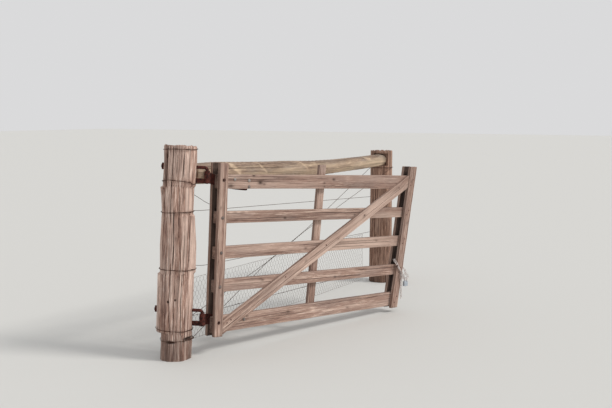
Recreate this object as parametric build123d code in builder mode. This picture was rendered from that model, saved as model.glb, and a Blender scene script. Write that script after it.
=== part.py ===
from build123d import *
import os
from math import atan2, cos, degrees, hypot, radians, sin, tan

# Wooden field gate on its two posts, standing open against its own fence line.
# Millimetres. Origin at the centre of the hinge post's foot, +X along the fence to the far post,
# +Z up, -Y towards the side that the gate leaf stands on.
# The hinge post, the hinge pins and the leaf all lean the same way, so they share one leaning frame:
# u runs level out along the leaf, v across it (away from the leaf's front) and w up along the lean.

# Lie of the leaf
LEAF_BEARING = -15.1      # degrees from +X, the way the open leaf points
LEAN = 3.37               # degrees, post and hinge axis lean towards the leaf
PIN_U = 134.3             # hinge axis from the post's axis, along the leaf
PIN_V = -127.5            # hinge axis from the post's axis, across the leaf

# Hinge post, stations as (height, width, depth, shift) seen square to VIEW_BEARING
POST_ABOVE_BOLT = 152     # from the upper hinge bolt to the top of the post
VIEW_BEARING = -58.5      # degrees from +X, the direction that the widths are measured along
POST_FLAT = 111           # hewn flat that the closed leaf passes, from the post's axis
POST_STATIONS = (
    (180, 226, 212, 10),
    (190, 257, 216, -8.5),
    (598, 258, 218, -12),
    (612, 254, 216, 1.5),
    (800, 256, 214, -2.5),
    (1006, 235, 212, -7),
    (1022, 223, 210, -12),
    (1120, 231, 209, -14.5),
    (1200, 241, 208, -19.5),
    (1214, 234, 206, -7),
    (1390, 234, 205, -3),
)
FOOT_SECTION = (226, 210, 10)
TOP_SECTION = (234, 204, -6)
POST_SIDES = 14
POST_SQUARENESS = 2.7

# Far post
SPAN = 3230               # from post to post, along the fence
FAR_HEIGHT = 1339
FAR_WIDTH = 222
FAR_DEPTH = 228
FAR_TAPER = 8             # how much narrower the far post is at its top

# Stay rail, a hewn log between the two posts: (share of its length, side, height, depth, width)
STAY_START = (-16, 1287)  # y and z of its middle at the hinge post
STAY_END = (-20, 1244)    # and at the far post
STAY_SAG = 30             # how far its middle lies under the straight line
STAY_NEAR = (160, 146)    # height and width at the hinge post
STAY_FAR = (124, 128)     # and at the far post
STAY_SIDES = 10
TENON_R = 45
TENON_LENGTH = 64
STAY_REACH = 50           # the log ends this far short of the far post's axis

# Boards of the leaf
RAIL_THICK = 39
RAIL_START = 94           # from the hinge axis to the rails' square-cut ends
# (bottom at the hinge end, width there, bottom at the latch end, width there)
RAILS = {
    "rail_1": (1199, 102, 1193, 116),
    "rail_2": (952, 89, 946, 87),
    "rail_3": (698, 92, 698, 89),
    "rail_4": (461, 91, 450, 89),
    "rail_5": (169, 119, 182, 118),
}
FRONT_THICK = 32
BACK_THICK = 30
LEAF_FRONT = -34          # front face of the front stiles from the hinge axis
HINGE_STILE_WIDTH = 75
HINGE_STILE_EDGE = 87     # from the hinge axis
BACK_STILE_SET = -9       # the back hinge stile stands this much nearer the post
STILE_BOTTOM = 147
STILE_TOP = 1383
LATCH_WIDTH = 80
LATCH_TOP_U = 2204        # middle of the latch stiles at their top
LATCH_LEAN = 8.07         # degrees out of square with the rails
LATCH_BOTTOM = 166
LATCH_TOP = 1386
LATCH_BACK_SET = -6
RAIL_END_INSET = 12       # the rails stop this far inside the latch stiles' outer edge
MIDDLE_WIDTH = 72
MIDDLE_TOP_U = 1163
MIDDLE_LEAN = 3.56
MIDDLE_BOTTOM = 180
MIDDLE_TOP = 1382
BRACE_WIDTH = 90
BRACE_THICK = 28
BRACE_FOOT_W = 208        # middle of the brace where it meets the hinge stile
BRACE_HEAD_W = 1257       # and where it meets the latch stile
ARRIS = 2.5               # worn edges of the boards

# Ironwork
PIN_R = 12
GUDGEON_BEND = 22
NUT_ACROSS = 36
NUT_THICK = 16
WASHER_R = 26
WASHER_THICK = 4
NUT_LET_IN = 9            # the washer's seat is cut this deep into the post's side
BOLT_SHOWING = 3          # of the bolt's end past its nut
COLLAR_R = 19
COLLAR_THICK = 5
KEEPER_R = 22             # eye of the keeper that holds the pin's lower end
KEEPER_THICK = 16
KEEPER_HEIGHT = 34
KEEPER_DRIVEN = 45        # how deep its tang sits in the post
STRAP_THICK = 8
EYE_PLAY = 0.5
EYE_HEIGHT = 47
STRAP_LENGTH = 400
STRAP_TAIL = 44
UPPER_TAIL_W = RAILS["rail_1"][0] + 5
LOWER_TAIL_W = RAILS["rail_5"][0] + 71
# from the middle of each strap's tail up to its hinge bolt
UPPER_BOLT_RISE = 142
LOWER_BOLT_RISE = 105
HOUSING_PLAY = 0.4

# Bolts of the leaf
BOLT_R = 5
HEAD_R = 12
HEAD_HEIGHT = 6
SMALL_NUT_ACROSS = 17
SMALL_NUT_THICK = 8
BOLT_PLAY = 0.3
STILE_BOLT_U = 123
# from the bottom of each rail up to its bolt
STILE_BOLTS_UP = (64, 44, 50, 45, 80)
STRAP_BOLT_U = 380
ROUND_SIDES = 16          # sides that bolts and their holes are drawn with

# Wires, heights at the hinge post and at the far post
WIRE_R = 2
WIRE_BEND = 60            # radius of the wires' kinks
SEAT = 0.3                # clearance of what is wrapped or laid on something
BAND_GAP = 0.5
# (height, how far it drops across the post seen from the front)
UPPER_BOLT_W = UPPER_TAIL_W + UPPER_BOLT_RISE
LOWER_BOLT_W = LOWER_TAIL_W + LOWER_BOLT_RISE
POST_HEIGHT = UPPER_BOLT_W + POST_ABOVE_BOLT
BANDS = {
    "top_band": (POST_HEIGHT - 34, 0),
    "second_band": (1234, 22),
    "third_band": (1034, 0),
    "fourth_band": (636, 8),
    "foot_band": (214, 14),
    "near_loop": (142, 0),
}
FAR_LOOP = 1166
# The band that each wire leaves the hinge post from, and then its stops as (x, height)
TOP_WIRE = ("third_band", (450, 991), (SPAN, 861))
MIDDLE_WIRE = ("fourth_band", (500, 570), (SPAN, 500))
BOTTOM_WIRE = ("foot_band", (SPAN, 100))
LOOSE_WIRE = ("second_band", (440, 1090), (536, 1037), (750, 982))
WIRE_OVERRUN = 70         # the line wires end this far past the far post's axis
TWIST = (1150, 1750)      # where its two strands are twisted together

# Netting, drawn far coarser than the real 40 mm mesh
NET_CELL = 140
NET_WIRE = 8
NET_THICK = 3
NET_BOTTOM = 30
NET_TOP = 495
NET_MARGIN = 175          # from each post's axis

# Chain and padlock, hung from a staple on the latch stile
LINK_R = 2.5
LINK_BEND = 7
LINK_STRAIGHT = 14
LINK_TURNS = 4            # facets of each rounded end
LINK_PLAY = 0.4
CHAIN_LINKS = 7           # odd, so that both ends stand edge on
TAIL_LINKS = 10
TAIL_FROM = 4             # the link that the loose tail hangs from, an even one
CHAIN_END = (2134, 423)   # middle of the last link, u and w
CHAIN_SLANT = 48          # degrees below the leaf's own level
STAPLE_SPREAD = 20
STAPLE_DEPTH = 20
LOCK_WIDTH = 46
LOCK_HEIGHT = 44
LOCK_THICK = 19
SHACKLE_R = 3.5
SHACKLE_BEND = 13
SHACKLE_LEG = 15
SHACKLE_SUNK = 12

os.makedirs("parts", exist_ok=True)


def direction(bearing):
    """Level unit vector at a bearing in degrees from +X."""
    return Vector(cos(radians(bearing)), sin(radians(bearing)), 0)


ALONG = direction(LEAF_BEARING)
ACROSS = direction(LEAF_BEARING + 90)
U_DIR = ALONG * cos(radians(LEAN)) - Vector(0, 0, sin(radians(LEAN)))
W_DIR = ALONG * sin(radians(LEAN)) + Vector(0, 0, cos(radians(LEAN)))
V_DIR = ACROSS


def place(u, v, w):
    """Point of the leaning frame whose origin is the hinge post's foot."""
    return U_DIR * u + V_DIR * v + W_DIR * w


def leaf_point(u, v, w):
    """Point of the leaf: u and v from the hinge axis, w from the post's foot."""
    return place(PIN_U + u, PIN_V + v, w)


def leaf_face(v):
    """Upright plane of the leaf seen from its front: x along the leaf, y up it."""
    return Plane(origin=leaf_point(0, v, 0), x_dir=U_DIR, z_dir=-V_DIR)


def leaf_plan(w):
    """Plane square to the hinge axis at height w, with the axis at its origin."""
    return Plane(origin=leaf_point(0, 0, w), x_dir=U_DIR, z_dir=W_DIR)


def save(piece, name):
    piece.label = name
    export_step(piece, f"parts/{name}.step")


def hewn_outline(width, depth, shift, sides, squareness):
    """Corners of a hewn section: a squarish oval with slightly uneven flats."""
    corners = []
    for i in range(sides):
        turn = radians(360 * (i + 0.5) / sides)
        reach = (abs(2 * cos(turn) / width) ** squareness + abs(2 * sin(turn) / depth) ** squareness)
        radius = reach ** (-1 / squareness) * (1 + 0.012 * sin(3 * turn + 0.7))
        corners.append((shift + radius * cos(turn), radius * sin(turn)))
    return corners


# Hinge post

VIEW_TURN = VIEW_BEARING - LEAF_BEARING
FLAT_DIR = (cos(radians(-90 - VIEW_BEARING)), sin(radians(-90 - VIEW_BEARING)))
ALL_STATIONS = (
    ((-30,) + FOOT_SECTION,)
    + POST_STATIONS
    + ((POST_HEIGHT,) + TOP_SECTION,)
)


def post_plane(w, tilt=0):
    """Plane square to the hinge post, x along VIEW_BEARING, tipped down to its right by tilt."""
    across = place(cos(radians(VIEW_TURN)), sin(radians(VIEW_TURN)), 0)
    plane = Plane(origin=place(0, 0, w), x_dir=across, z_dir=W_DIR)
    return plane.rotated((0, tilt, 0))


def post_outline(w):
    """Section of the hinge post at height w, between its stations, with its hewn flat."""
    for low, high in zip(ALL_STATIONS, ALL_STATIONS[1:]):
        if w <= high[0]:
            break
    share = (w - low[0]) / (high[0] - low[0])
    width, depth, shift = (a + share * (b - a) for a, b in zip(low[1:], high[1:]))
    corners = []
    for x, y in hewn_outline(width, depth, shift, POST_SIDES, POST_SQUARENESS):
        over = max(0, x * FLAT_DIR[0] + y * FLAT_DIR[1] - POST_FLAT)
        corners.append((x - over * FLAT_DIR[0], y - over * FLAT_DIR[1]))
    return corners


def post_reach(w, bearing):
    """How far the hinge post's surface lies from the origin along a level bearing, at height w."""
    plane = post_plane(w)
    away = direction(bearing)
    return max(plane.from_local_coords(Vector(x, y, 0)).dot(away) for x, y in post_outline(w))


with BuildPart() as hinge_post:
    for station in ALL_STATIONS:
        with BuildSketch(post_plane(station[0])):
            Polygon(*post_outline(station[0]), align=None)
    loft(ruled=True)
    split(bisect_by=Plane.XY, keep=Keep.TOP)

# Wire bands wrapped round the hinge post, following its section at their height

VIEW_RIGHT = direction(VIEW_BEARING)


def band_plane(height, drop):
    """Plane of a wire band: level, or dropping to the right as seen from the front."""
    tilt = atan2(drop, POST_STATIONS[0][1])
    x_dir = VIEW_RIGHT * cos(tilt) - Vector(0, 0, sin(tilt))
    depth = direction(VIEW_BEARING + 90)
    return Plane(origin=place(0, 0, height / W_DIR.Z), x_dir=x_dir, z_dir=x_dir.cross(depth))


def band_outline(plane):
    """The hinge post's section in a band's plane, corner by corner."""
    corners = []
    for i in range(POST_SIDES):
        w = plane.origin.Z
        for _ in range(6):
            corner = post_plane(w).from_local_coords(Vector(*post_outline(w)[i], 0))
            gap = (plane.origin - corner).dot(plane.z_dir)
            w += gap / W_DIR.dot(plane.z_dir)
        flat = plane.to_local_coords(corner)
        corners.append((flat.X, flat.Y))
    return corners


def make_ring(plane, outline):
    """Square-section ring of wire round an outline."""
    with BuildPart() as ring:
        with BuildSketch(plane.offset(-WIRE_R)):
            Polygon(*outline, align=None)
            offset(amount=BAND_GAP + 2 * WIRE_R, kind=Kind.INTERSECTION)
            with BuildSketch(mode=Mode.PRIVATE) as inner:
                Polygon(*outline, align=None)
                offset(amount=BAND_GAP, kind=Kind.INTERSECTION)
            add(inner.sketch, mode=Mode.SUBTRACT)
        extrude(amount=2 * WIRE_R)
    return ring.part


for name, (height, drop) in BANDS.items():
    plane = band_plane(height, drop)
    save(make_ring(plane, band_outline(plane)), name)

# Gudgeons: through bolts forged over into upright hinge pins

PIN_REACH = hypot(PIN_U, PIN_V)
PIN_TURN = degrees(atan2(PIN_V, PIN_U))


def gudgeon_plane(w):
    """Upright plane through the post's axis and the hinge axis: x towards the pin, y up."""
    out = place(cos(radians(PIN_TURN)), sin(radians(PIN_TURN)), 0)
    return Plane(origin=place(0, 0, w), x_dir=out, z_dir=out.cross(W_DIR))


def bolt_plane(w, reach):
    """Plane square to a gudgeon's bolt, reach out from the post's axis."""
    across = gudgeon_plane(w)
    return Plane(origin=across.from_local_coords(Vector(reach, 0, 0)), x_dir=W_DIR, z_dir=across.x_dir)


def nut_seat(w):
    """Distance from the post's axis back to the seat of the washer at height w."""
    return max(-x for x, _ in post_outline(w)) - NUT_LET_IN


def eye_span(w):
    """Bottom and top of the strap's eye under the hinge bolt at height w."""
    top = w - GUDGEON_BEND - COLLAR_THICK - EYE_PLAY
    return top - EYE_HEIGHT, top


def keeper_span(w):
    """Bottom and top of the keeper that the eye rides on."""
    top = eye_span(w)[0] - EYE_PLAY
    return top - KEEPER_HEIGHT, top


def make_gudgeon(w):
    """Bolt through the post, forged over into a pin that points down."""
    bend = PIN_REACH - GUDGEON_BEND
    tail = nut_seat(w) + WASHER_THICK + NUT_THICK + BOLT_SHOWING
    pin_top = w - GUDGEON_BEND
    across = gudgeon_plane(w)
    corner = across.from_local_coords(Vector(bend, -GUDGEON_BEND, 0))
    with BuildPart() as gudgeon:
        with BuildSketch(bolt_plane(w, -tail)):
            RegularPolygon(PIN_R, ROUND_SIDES)
        extrude(amount=tail + bend)
        with BuildSketch(bolt_plane(w, bend)):
            RegularPolygon(PIN_R, ROUND_SIDES)
        revolve(axis=Axis(corner, across.z_dir * -1), revolution_arc=90)
        with BuildSketch(leaf_plan(pin_top)):
            RegularPolygon(PIN_R, ROUND_SIDES)
        extrude(amount=keeper_span(w)[0] - BOLT_SHOWING - pin_top)
        # collar that stops the eye from riding up
        with BuildSketch(leaf_plan(pin_top)):
            RegularPolygon(COLLAR_R, ROUND_SIDES)
        extrude(amount=-COLLAR_THICK)
    return gudgeon.part


def make_nut(w):
    """Square nut on a round washer, on the bolt's tail behind the post."""
    seat = nut_seat(w)
    with BuildPart() as nut:
        with BuildSketch(bolt_plane(w, -seat)):
            RegularPolygon(WASHER_R, ROUND_SIDES)
            RegularPolygon(PIN_R + SEAT, ROUND_SIDES, mode=Mode.SUBTRACT)
        extrude(amount=-WASHER_THICK)
        with BuildSketch(bolt_plane(w, -seat - WASHER_THICK)):
            Rectangle(NUT_ACROSS, NUT_ACROSS)
            RegularPolygon(PIN_R + SEAT, ROUND_SIDES, mode=Mode.SUBTRACT)
        extrude(amount=-NUT_THICK)
    return nut.part


def keeper_plan(w):
    """Plane square to the post at height w, x from its axis towards the hinge axis."""
    return Plane(origin=place(0, 0, w), x_dir=gudgeon_plane(w).x_dir, z_dir=W_DIR)


def make_keeper(w):
    """Forged lug driven into the post, with an eye for the pin's lower end."""
    bottom, top = keeper_span(w)
    tang = max(x for x, _ in post_outline(bottom)) - KEEPER_DRIVEN
    with BuildPart() as keeper:
        with BuildSketch(keeper_plan(bottom)):
            with Locations((tang, 0)):
                Rectangle(PIN_REACH - tang, KEEPER_THICK, align=(Align.MIN, Align.CENTER))
            with Locations((PIN_REACH, 0)):
                Circle(KEEPER_R)
                RegularPolygon(PIN_R + SEAT, ROUND_SIDES, mode=Mode.SUBTRACT)
        extrude(amount=top - bottom)
    return keeper.part


for end_name, bolt_w in (("upper", UPPER_BOLT_W), ("lower", LOWER_BOLT_W)):
    seat = nut_seat(bolt_w)
    low, high = keeper_span(bolt_w)
    tang = max(x for x, _ in post_outline(low)) - KEEPER_DRIVEN - SEAT
    with hinge_post:
        with BuildSketch(bolt_plane(bolt_w, 0)):
            Circle(PIN_R + SEAT)
        extrude(amount=2 * POST_FLAT, both=True, mode=Mode.SUBTRACT)
        # spot-faced seat for the washer
        with BuildSketch(bolt_plane(bolt_w, SEAT - seat)):
            Circle(WASHER_R + 2)
        extrude(amount=-seat, mode=Mode.SUBTRACT)
        # mortise for the keeper's tang
        with BuildSketch(keeper_plan(low - SEAT)):
            with Locations((tang, 0)):
                Rectangle(PIN_REACH, KEEPER_THICK + 2 * SEAT, align=(Align.MIN, Align.CENTER))
        extrude(amount=high - low + 2 * SEAT, mode=Mode.SUBTRACT)
    save(make_nut(bolt_w), f"{end_name}_gudgeon_nut")
    save(make_gudgeon(bolt_w), f"{end_name}_gudgeon")
    save(make_keeper(bolt_w), f"{end_name}_keeper")

# Stay rail between the posts

STAY_SHOULDER = post_reach(STAY_START[1] + STAY_NEAR[0] / 2, 0) + BAND_GAP + 2 * WIRE_R + SEAT
STAY_TIP = SPAN - STAY_REACH


def stay_section(share):
    """Middle (y, z), height and width of the log at a share of its length."""
    bow = 4 * share * (1 - share)
    y = STAY_START[0] + share * (STAY_END[0] - STAY_START[0])
    z = STAY_START[1] + share * (STAY_END[1] - STAY_START[1]) - STAY_SAG * bow
    height, width = (a + share * (b - a) for a, b in zip(STAY_NEAR, STAY_FAR))
    return y, z, height, width


FAR_TOP_OF_STAY = STAY_END[1] + STAY_FAR[0] / 2
FAR_SEAT_OF_STAY = STAY_END[1] - STAY_FAR[0] / 2 + 4
FAR_BACK_OF_STAY = STAY_END[0] + STAY_FAR[1] / 2 - 4

with BuildPart() as stay_rail:
    for step in range(7):
        part_way = step / 6
        middle_y, middle_z, high, wide = stay_section(part_way)
        x = STAY_SHOULDER + part_way * (STAY_TIP - STAY_SHOULDER)
        with BuildSketch(Plane(origin=(x, middle_y, middle_z), x_dir=(0, 1, 0), z_dir=(1, 0, 0))):
            Polygon(*hewn_outline(wide, high, 0, STAY_SIDES, 2.4), align=None)
    loft(ruled=True)
    with BuildSketch(Plane(origin=(STAY_SHOULDER, *STAY_START), x_dir=(0, 1, 0), z_dir=(1, 0, 0))):
        Circle(TENON_R)
    extrude(amount=-TENON_LENGTH)
    # squared end that lies in the far post's notch
    with BuildSketch(Plane.XY.offset(FAR_SEAT_OF_STAY)):
        with Locations((STAY_TIP, STAY_END[0])):
            Rectangle(FAR_WIDTH, 2 * STAY_FAR[1])
    extrude(amount=-STAY_FAR[0], mode=Mode.SUBTRACT)
    with BuildSketch(Plane.XY.offset(FAR_SEAT_OF_STAY - STAY_FAR[0])):
        with Locations((STAY_TIP, FAR_BACK_OF_STAY + STAY_FAR[1])):
            Rectangle(FAR_WIDTH, 2 * STAY_FAR[1])
    extrude(amount=3 * STAY_FAR[0], mode=Mode.SUBTRACT)

with hinge_post:
    with BuildSketch(Plane(origin=(STAY_SHOULDER, *STAY_START), x_dir=(0, 1, 0), z_dir=(1, 0, 0))):
        Circle(TENON_R + SEAT)
    extrude(amount=-TENON_LENGTH - SEAT, mode=Mode.SUBTRACT)
save(hinge_post.part, "hinge_post")
save(stay_rail.part, "stay_rail")

with BuildPart() as far_post:
    for height, less in ((0, 0), (FAR_HEIGHT, FAR_TAPER)):
        with BuildSketch(Plane(origin=(SPAN, 0, height))):
            Polygon(*hewn_outline(FAR_WIDTH - less, FAR_DEPTH - less, 0, POST_SIDES, 2.5), align=None)
    loft(ruled=True)
    # notch that houses the end of the stay rail, open to the front and to the hinge post
    with BuildSketch(Plane.XY.offset(FAR_SEAT_OF_STAY - SEAT)):
        with Locations((STAY_TIP + SEAT, FAR_BACK_OF_STAY + SEAT)):
            Rectangle(FAR_WIDTH, FAR_DEPTH, align=(Align.MAX, Align.MAX))
    extrude(amount=FAR_TOP_OF_STAY + 2 - FAR_SEAT_OF_STAY, mode=Mode.SUBTRACT)
save(far_post.part, "far_post")

# Line wires, loose wire, brace wire and netting along the fence


def far_outline(height):
    """Section of the far post at one height."""
    less = FAR_TAPER * height / FAR_HEIGHT
    return hewn_outline(FAR_WIDTH - less, FAR_DEPTH - less, 0, POST_SIDES, 2.5)


save(make_ring(Plane(origin=(SPAN, 0, FAR_LOOP)), far_outline(FAR_LOOP)), "far_loop")

# what a wire lying outside a band keeps from the bare post
OVER_BAND = BAND_GAP + 2 * WIRE_R + SEAT + WIRE_R


def make_wire(points):
    """Six-sided wire along straight lengths from point to point."""
    start, after = Vector(*points[0]), Vector(*points[1])
    with BuildPart() as wire:
        with BuildLine() as route:
            if len(points) > 2:
                FilletPolyline(*points, radius=WIRE_BEND)
            else:
                Line(*points)
        with BuildSketch(Plane(origin=start, z_dir=after - start)):
            RegularPolygon(WIRE_R, 6)
        sweep(path=route.wires()[0])
    return wire.part


def band_corners(band):
    """Corners of the hinge post in the plane of a named band."""
    plane = band_plane(*BANDS[band])
    return [plane.from_local_coords(Vector(x, y, 0)) for x, y in band_outline(plane)]


def line_wire(band, *stops, overrun=0):
    """Points of a wire behind the fence line, from its band on the hinge post to the far post."""
    near = max(band_corners(band), key=lambda corner: corner.Y)
    start = near.Y + OVER_BAND
    far = max(y for _, y in far_outline(stops[-1][1])) + WIRE_R + SEAT
    points = [Vector(near.X, start, near.Z)]
    for x, z in stops:
        share = (x - near.X) / (SPAN - near.X)
        points.append(Vector(x, start + share * (far - start), z))
    points[-1] += (points[-1] - points[-2]).normalized() * overrun
    return points


top_line = line_wire(*TOP_WIRE, overrun=WIRE_OVERRUN)
low_line = line_wire(*BOTTOM_WIRE, overrun=WIRE_OVERRUN)
loose_line = line_wire(*LOOSE_WIRE)
save(make_wire(top_line), "line_wire_top")
save(make_wire(line_wire(*MIDDLE_WIRE, overrun=WIRE_OVERRUN)), "line_wire_middle")
save(make_wire(low_line), "line_wire_bottom")
# the loose wire ends on the top wire
reach_along = (loose_line[-1].X - top_line[-2].X) / (top_line[-1].X - top_line[-2].X)
landing = top_line[-2] + (top_line[-1] - top_line[-2]) * reach_along
loose_line[-1] = landing + Vector(0, 0, 2 * WIRE_R + SEAT / 2)
save(make_wire(loose_line), "loose_wire")

loop_corners = band_corners("near_loop")
LAID = WIRE_R + SEAT / 2
for side, name in ((1, "brace_wire_back"), (-1, "brace_wire_front")):
    # the strand leaves the loop as a tangent towards the twist
    spread = max((side * c.Y + OVER_BAND + SEAT - LAID) / (TWIST[0] - c.X) for c in loop_corners)
    start = max(c.X for c in loop_corners) / 4
    rise = (FAR_LOOP - BANDS["near_loop"][0]) / (SPAN - start)
    far = max(side * y for _, y in far_outline(FAR_LOOP)) + OVER_BAND
    points = ((start, LAID + spread * (TWIST[0] - start)), (TWIST[0], LAID), (TWIST[1], LAID), (SPAN, far))
    save(make_wire([(x, side * y, BANDS["near_loop"][0] + rise * (x - start)) for x, y in points]), name)

# Netting behind the bottom wire
NET_WIDTH = SPAN - 2 * NET_MARGIN
NET_DIR = Vector(low_line[1].X - low_line[0].X, low_line[1].Y - low_line[0].Y, 0).normalized()
halfway = (SPAN / 2 - low_line[0].X) / NET_DIR.X
NET_MIDDLE = Vector(
    SPAN / 2,
    low_line[0].Y + NET_DIR.Y * halfway + WIRE_R + SEAT,
    (NET_BOTTOM + NET_TOP) / 2,
)
with BuildPart() as netting:
    with BuildSketch(Plane(origin=NET_MIDDLE, x_dir=NET_DIR, z_dir=NET_DIR.cross(Vector(0, 0, 1)))):
        Rectangle(NET_WIDTH, NET_TOP - NET_BOTTOM)
        with BuildSketch(mode=Mode.PRIVATE) as holes:
            columns = int(NET_WIDTH / NET_CELL * 2 / 3 ** 0.5) + 2
            rows = int((NET_TOP - NET_BOTTOM) / NET_CELL) + 1
            with HexLocations(NET_CELL / 2, columns, rows):
                RegularPolygon(NET_CELL / 2 - NET_WIRE / 2, 6, major_radius=False)
            Rectangle(NET_WIDTH - 2 * NET_WIRE, NET_TOP - NET_BOTTOM - 2 * NET_WIRE, mode=Mode.INTERSECT)
        add(holes.sketch, mode=Mode.SUBTRACT)
    extrude(amount=-NET_THICK)
save(netting.part, "netting")

# Boards of the leaf

RAIL_BACK = LEAF_FRONT + FRONT_THICK + RAIL_THICK


def latch_u(w, top=LATCH_TOP_U, lean=LATCH_LEAN, from_w=LATCH_TOP):
    """Middle of a leaning stile at height w."""
    return top - (from_w - w) * tan(radians(lean))


def make_board(corners, back, thick):
    """Sawn board from its four corners on the leaf, with worn long edges."""
    with BuildPart() as board:
        with BuildSketch(leaf_face(back)):
            Polygon(*corners, align=None)
        extrude(amount=thick)
        lengths = board.edges().sort_by(Edge.length)[-4:]
        chamfer(lengths, ARRIS)
    return board.part


def leaning_corners(width, middle, bottom, top):
    """Corners of a stile whose middle line is a function of w."""
    return [
        (middle(bottom) - width / 2, bottom),
        (middle(bottom) + width / 2, bottom),
        (middle(top) + width / 2, top),
        (middle(top) - width / 2, top),
    ]


def rail_corners(bottom, width, far_bottom, far_width):
    """Corners of a rail that tapers from the hinge end to the latch end."""
    end = latch_u(far_bottom + far_width / 2) + LATCH_WIDTH / 2 - RAIL_END_INSET
    return [
        (RAIL_START, bottom),
        (end, far_bottom),
        (end, far_bottom + far_width),
        (RAIL_START, bottom + width),
    ]


rails = {name: make_board(rail_corners(*sizes), RAIL_BACK, RAIL_THICK) for name, sizes in RAILS.items()}

hinge_mid = HINGE_STILE_EDGE + HINGE_STILE_WIDTH / 2
front_stile = make_board(
    leaning_corners(HINGE_STILE_WIDTH, lambda w: hinge_mid, STILE_BOTTOM, STILE_TOP),
    LEAF_FRONT + FRONT_THICK,
    FRONT_THICK,
)
back_stile = make_board(
    leaning_corners(HINGE_STILE_WIDTH, lambda w: hinge_mid + BACK_STILE_SET, STILE_BOTTOM, STILE_TOP),
    RAIL_BACK + BACK_THICK,
    BACK_THICK,
)
latch_front = make_board(
    leaning_corners(LATCH_WIDTH, latch_u, LATCH_BOTTOM, LATCH_TOP),
    LEAF_FRONT + FRONT_THICK,
    FRONT_THICK,
)
latch_back = make_board(
    leaning_corners(LATCH_WIDTH, lambda w: latch_u(w) + LATCH_BACK_SET, LATCH_BOTTOM, LATCH_TOP),
    RAIL_BACK + BACK_THICK,
    BACK_THICK,
)
middle_stile = make_board(
    leaning_corners(
        MIDDLE_WIDTH,
        lambda w: latch_u(w, MIDDLE_TOP_U, MIDDLE_LEAN, MIDDLE_TOP),
        MIDDLE_BOTTOM,
        MIDDLE_TOP,
    ),
    RAIL_BACK + BACK_THICK,
    BACK_THICK,
)

# The brace runs from the hinge stile's inner edge to the latch stile's inner edge.
BRACE_START = HINGE_STILE_EDGE + HINGE_STILE_WIDTH


def latch_edge_u(w):
    """Inner edge of the front latch stile at height w."""
    return latch_u(w) - LATCH_WIDTH / 2


BRACE_RUN = latch_edge_u(BRACE_HEAD_W) - BRACE_START
BRACE_SLOPE = (BRACE_HEAD_W - BRACE_FOOT_W) / BRACE_RUN
BRACE_HALF = BRACE_WIDTH / 2 * hypot(1, BRACE_SLOPE)


def brace_end(offset):
    """Point where a line of the brace, offset up from its middle, meets the latch stile's edge."""
    lean = tan(radians(LATCH_LEAN))
    start_w = BRACE_FOOT_W + offset
    u = (latch_edge_u(start_w) - lean * BRACE_SLOPE * BRACE_START) / (1 - lean * BRACE_SLOPE)
    return u, start_w + BRACE_SLOPE * (u - BRACE_START)


brace = make_board(
    [
        (BRACE_START, BRACE_FOOT_W - BRACE_HALF),
        brace_end(-BRACE_HALF),
        brace_end(BRACE_HALF),
        (BRACE_START, BRACE_FOOT_W + BRACE_HALF),
    ],
    LEAF_FRONT + FRONT_THICK,
    BRACE_THICK,
)

# Strap hinges: an eye round the pin, a crank, and a tapered plate against the rail's back

EYE_R = PIN_R + EYE_PLAY
STRAP_MIDDLE = RAIL_BACK + STRAP_THICK / 2
UPPER_EYE = eye_span(UPPER_BOLT_W)
LOWER_EYE = eye_span(LOWER_BOLT_W)
# past the keeper's eye the strap deepens again to the keeper's own height
STRAP_CLEAR = KEEPER_R + 5


def strap_outline(eye, tail_w):
    """Side view of a strap: its eye, deeper past the keeper, tapering to its tail."""
    near = -EYE_R - STRAP_THICK
    return [
        (near, eye[0]),
        (STRAP_CLEAR, eye[0]),
        (STRAP_CLEAR, eye[0] - KEEPER_HEIGHT),
        (STRAP_LENGTH, tail_w - STRAP_TAIL / 2),
        (STRAP_LENGTH, tail_w + STRAP_TAIL / 2),
        (-near, eye[1]),
        (near, eye[1]),
    ]


def strap_height(eye, tail_w, u):
    """Middle height of a strap at u."""
    share = (u - STRAP_CLEAR) / (STRAP_LENGTH - STRAP_CLEAR)
    return (eye[0] + eye[1] - KEEPER_HEIGHT) / 2 * (1 - share) + tail_w * share


def make_strap(eye, tail_w):
    """Strap with its eye, cut to its side view."""
    lowest = min(eye[0] - KEEPER_HEIGHT, tail_w - STRAP_TAIL / 2)
    highest = max(eye[1], tail_w + STRAP_TAIL / 2)
    tangent_v = EYE_R + STRAP_THICK / 2
    crank = HINGE_STILE_EDGE + BACK_STILE_SET - 12
    with BuildPart() as strap:
        with BuildSketch(leaf_plan(lowest)):
            with BuildLine():
                FilletPolyline(
                    (0, tangent_v),
                    (EYE_R + STRAP_THICK, tangent_v),
                    (crank, STRAP_MIDDLE),
                    (STRAP_LENGTH, STRAP_MIDDLE),
                    radius=2 * STRAP_THICK,
                )
            trace(line_width=STRAP_THICK)
            Circle(EYE_R + STRAP_THICK)
            Circle(EYE_R, mode=Mode.SUBTRACT)
        extrude(amount=highest - lowest)
        with BuildSketch(leaf_face(-2 * EYE_R - STRAP_THICK)):
            Polygon(*strap_outline(eye, tail_w), align=None)
        extrude(amount=-3 * RAIL_BACK, mode=Mode.INTERSECT)
    return strap.part


upper_strap = make_strap(UPPER_EYE, UPPER_TAIL_W)
lower_strap = make_strap(LOWER_EYE, LOWER_TAIL_W)

# Housings in the back stile for both straps
with BuildPart() as housed_stile:
    add(back_stile)
    for eye, tail_w in ((UPPER_EYE, UPPER_TAIL_W), (LOWER_EYE, LOWER_TAIL_W)):
        with BuildSketch(leaf_face(RAIL_BACK + STRAP_THICK + HOUSING_PLAY)):
            Polygon(*strap_outline(eye, tail_w), align=None)
            offset(amount=2, kind=Kind.INTERSECTION)
        extrude(amount=STRAP_THICK + HOUSING_PLAY, mode=Mode.SUBTRACT)

# Bolts through the hinge stiles and the straps, as (u, w, front face, back face)

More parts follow.
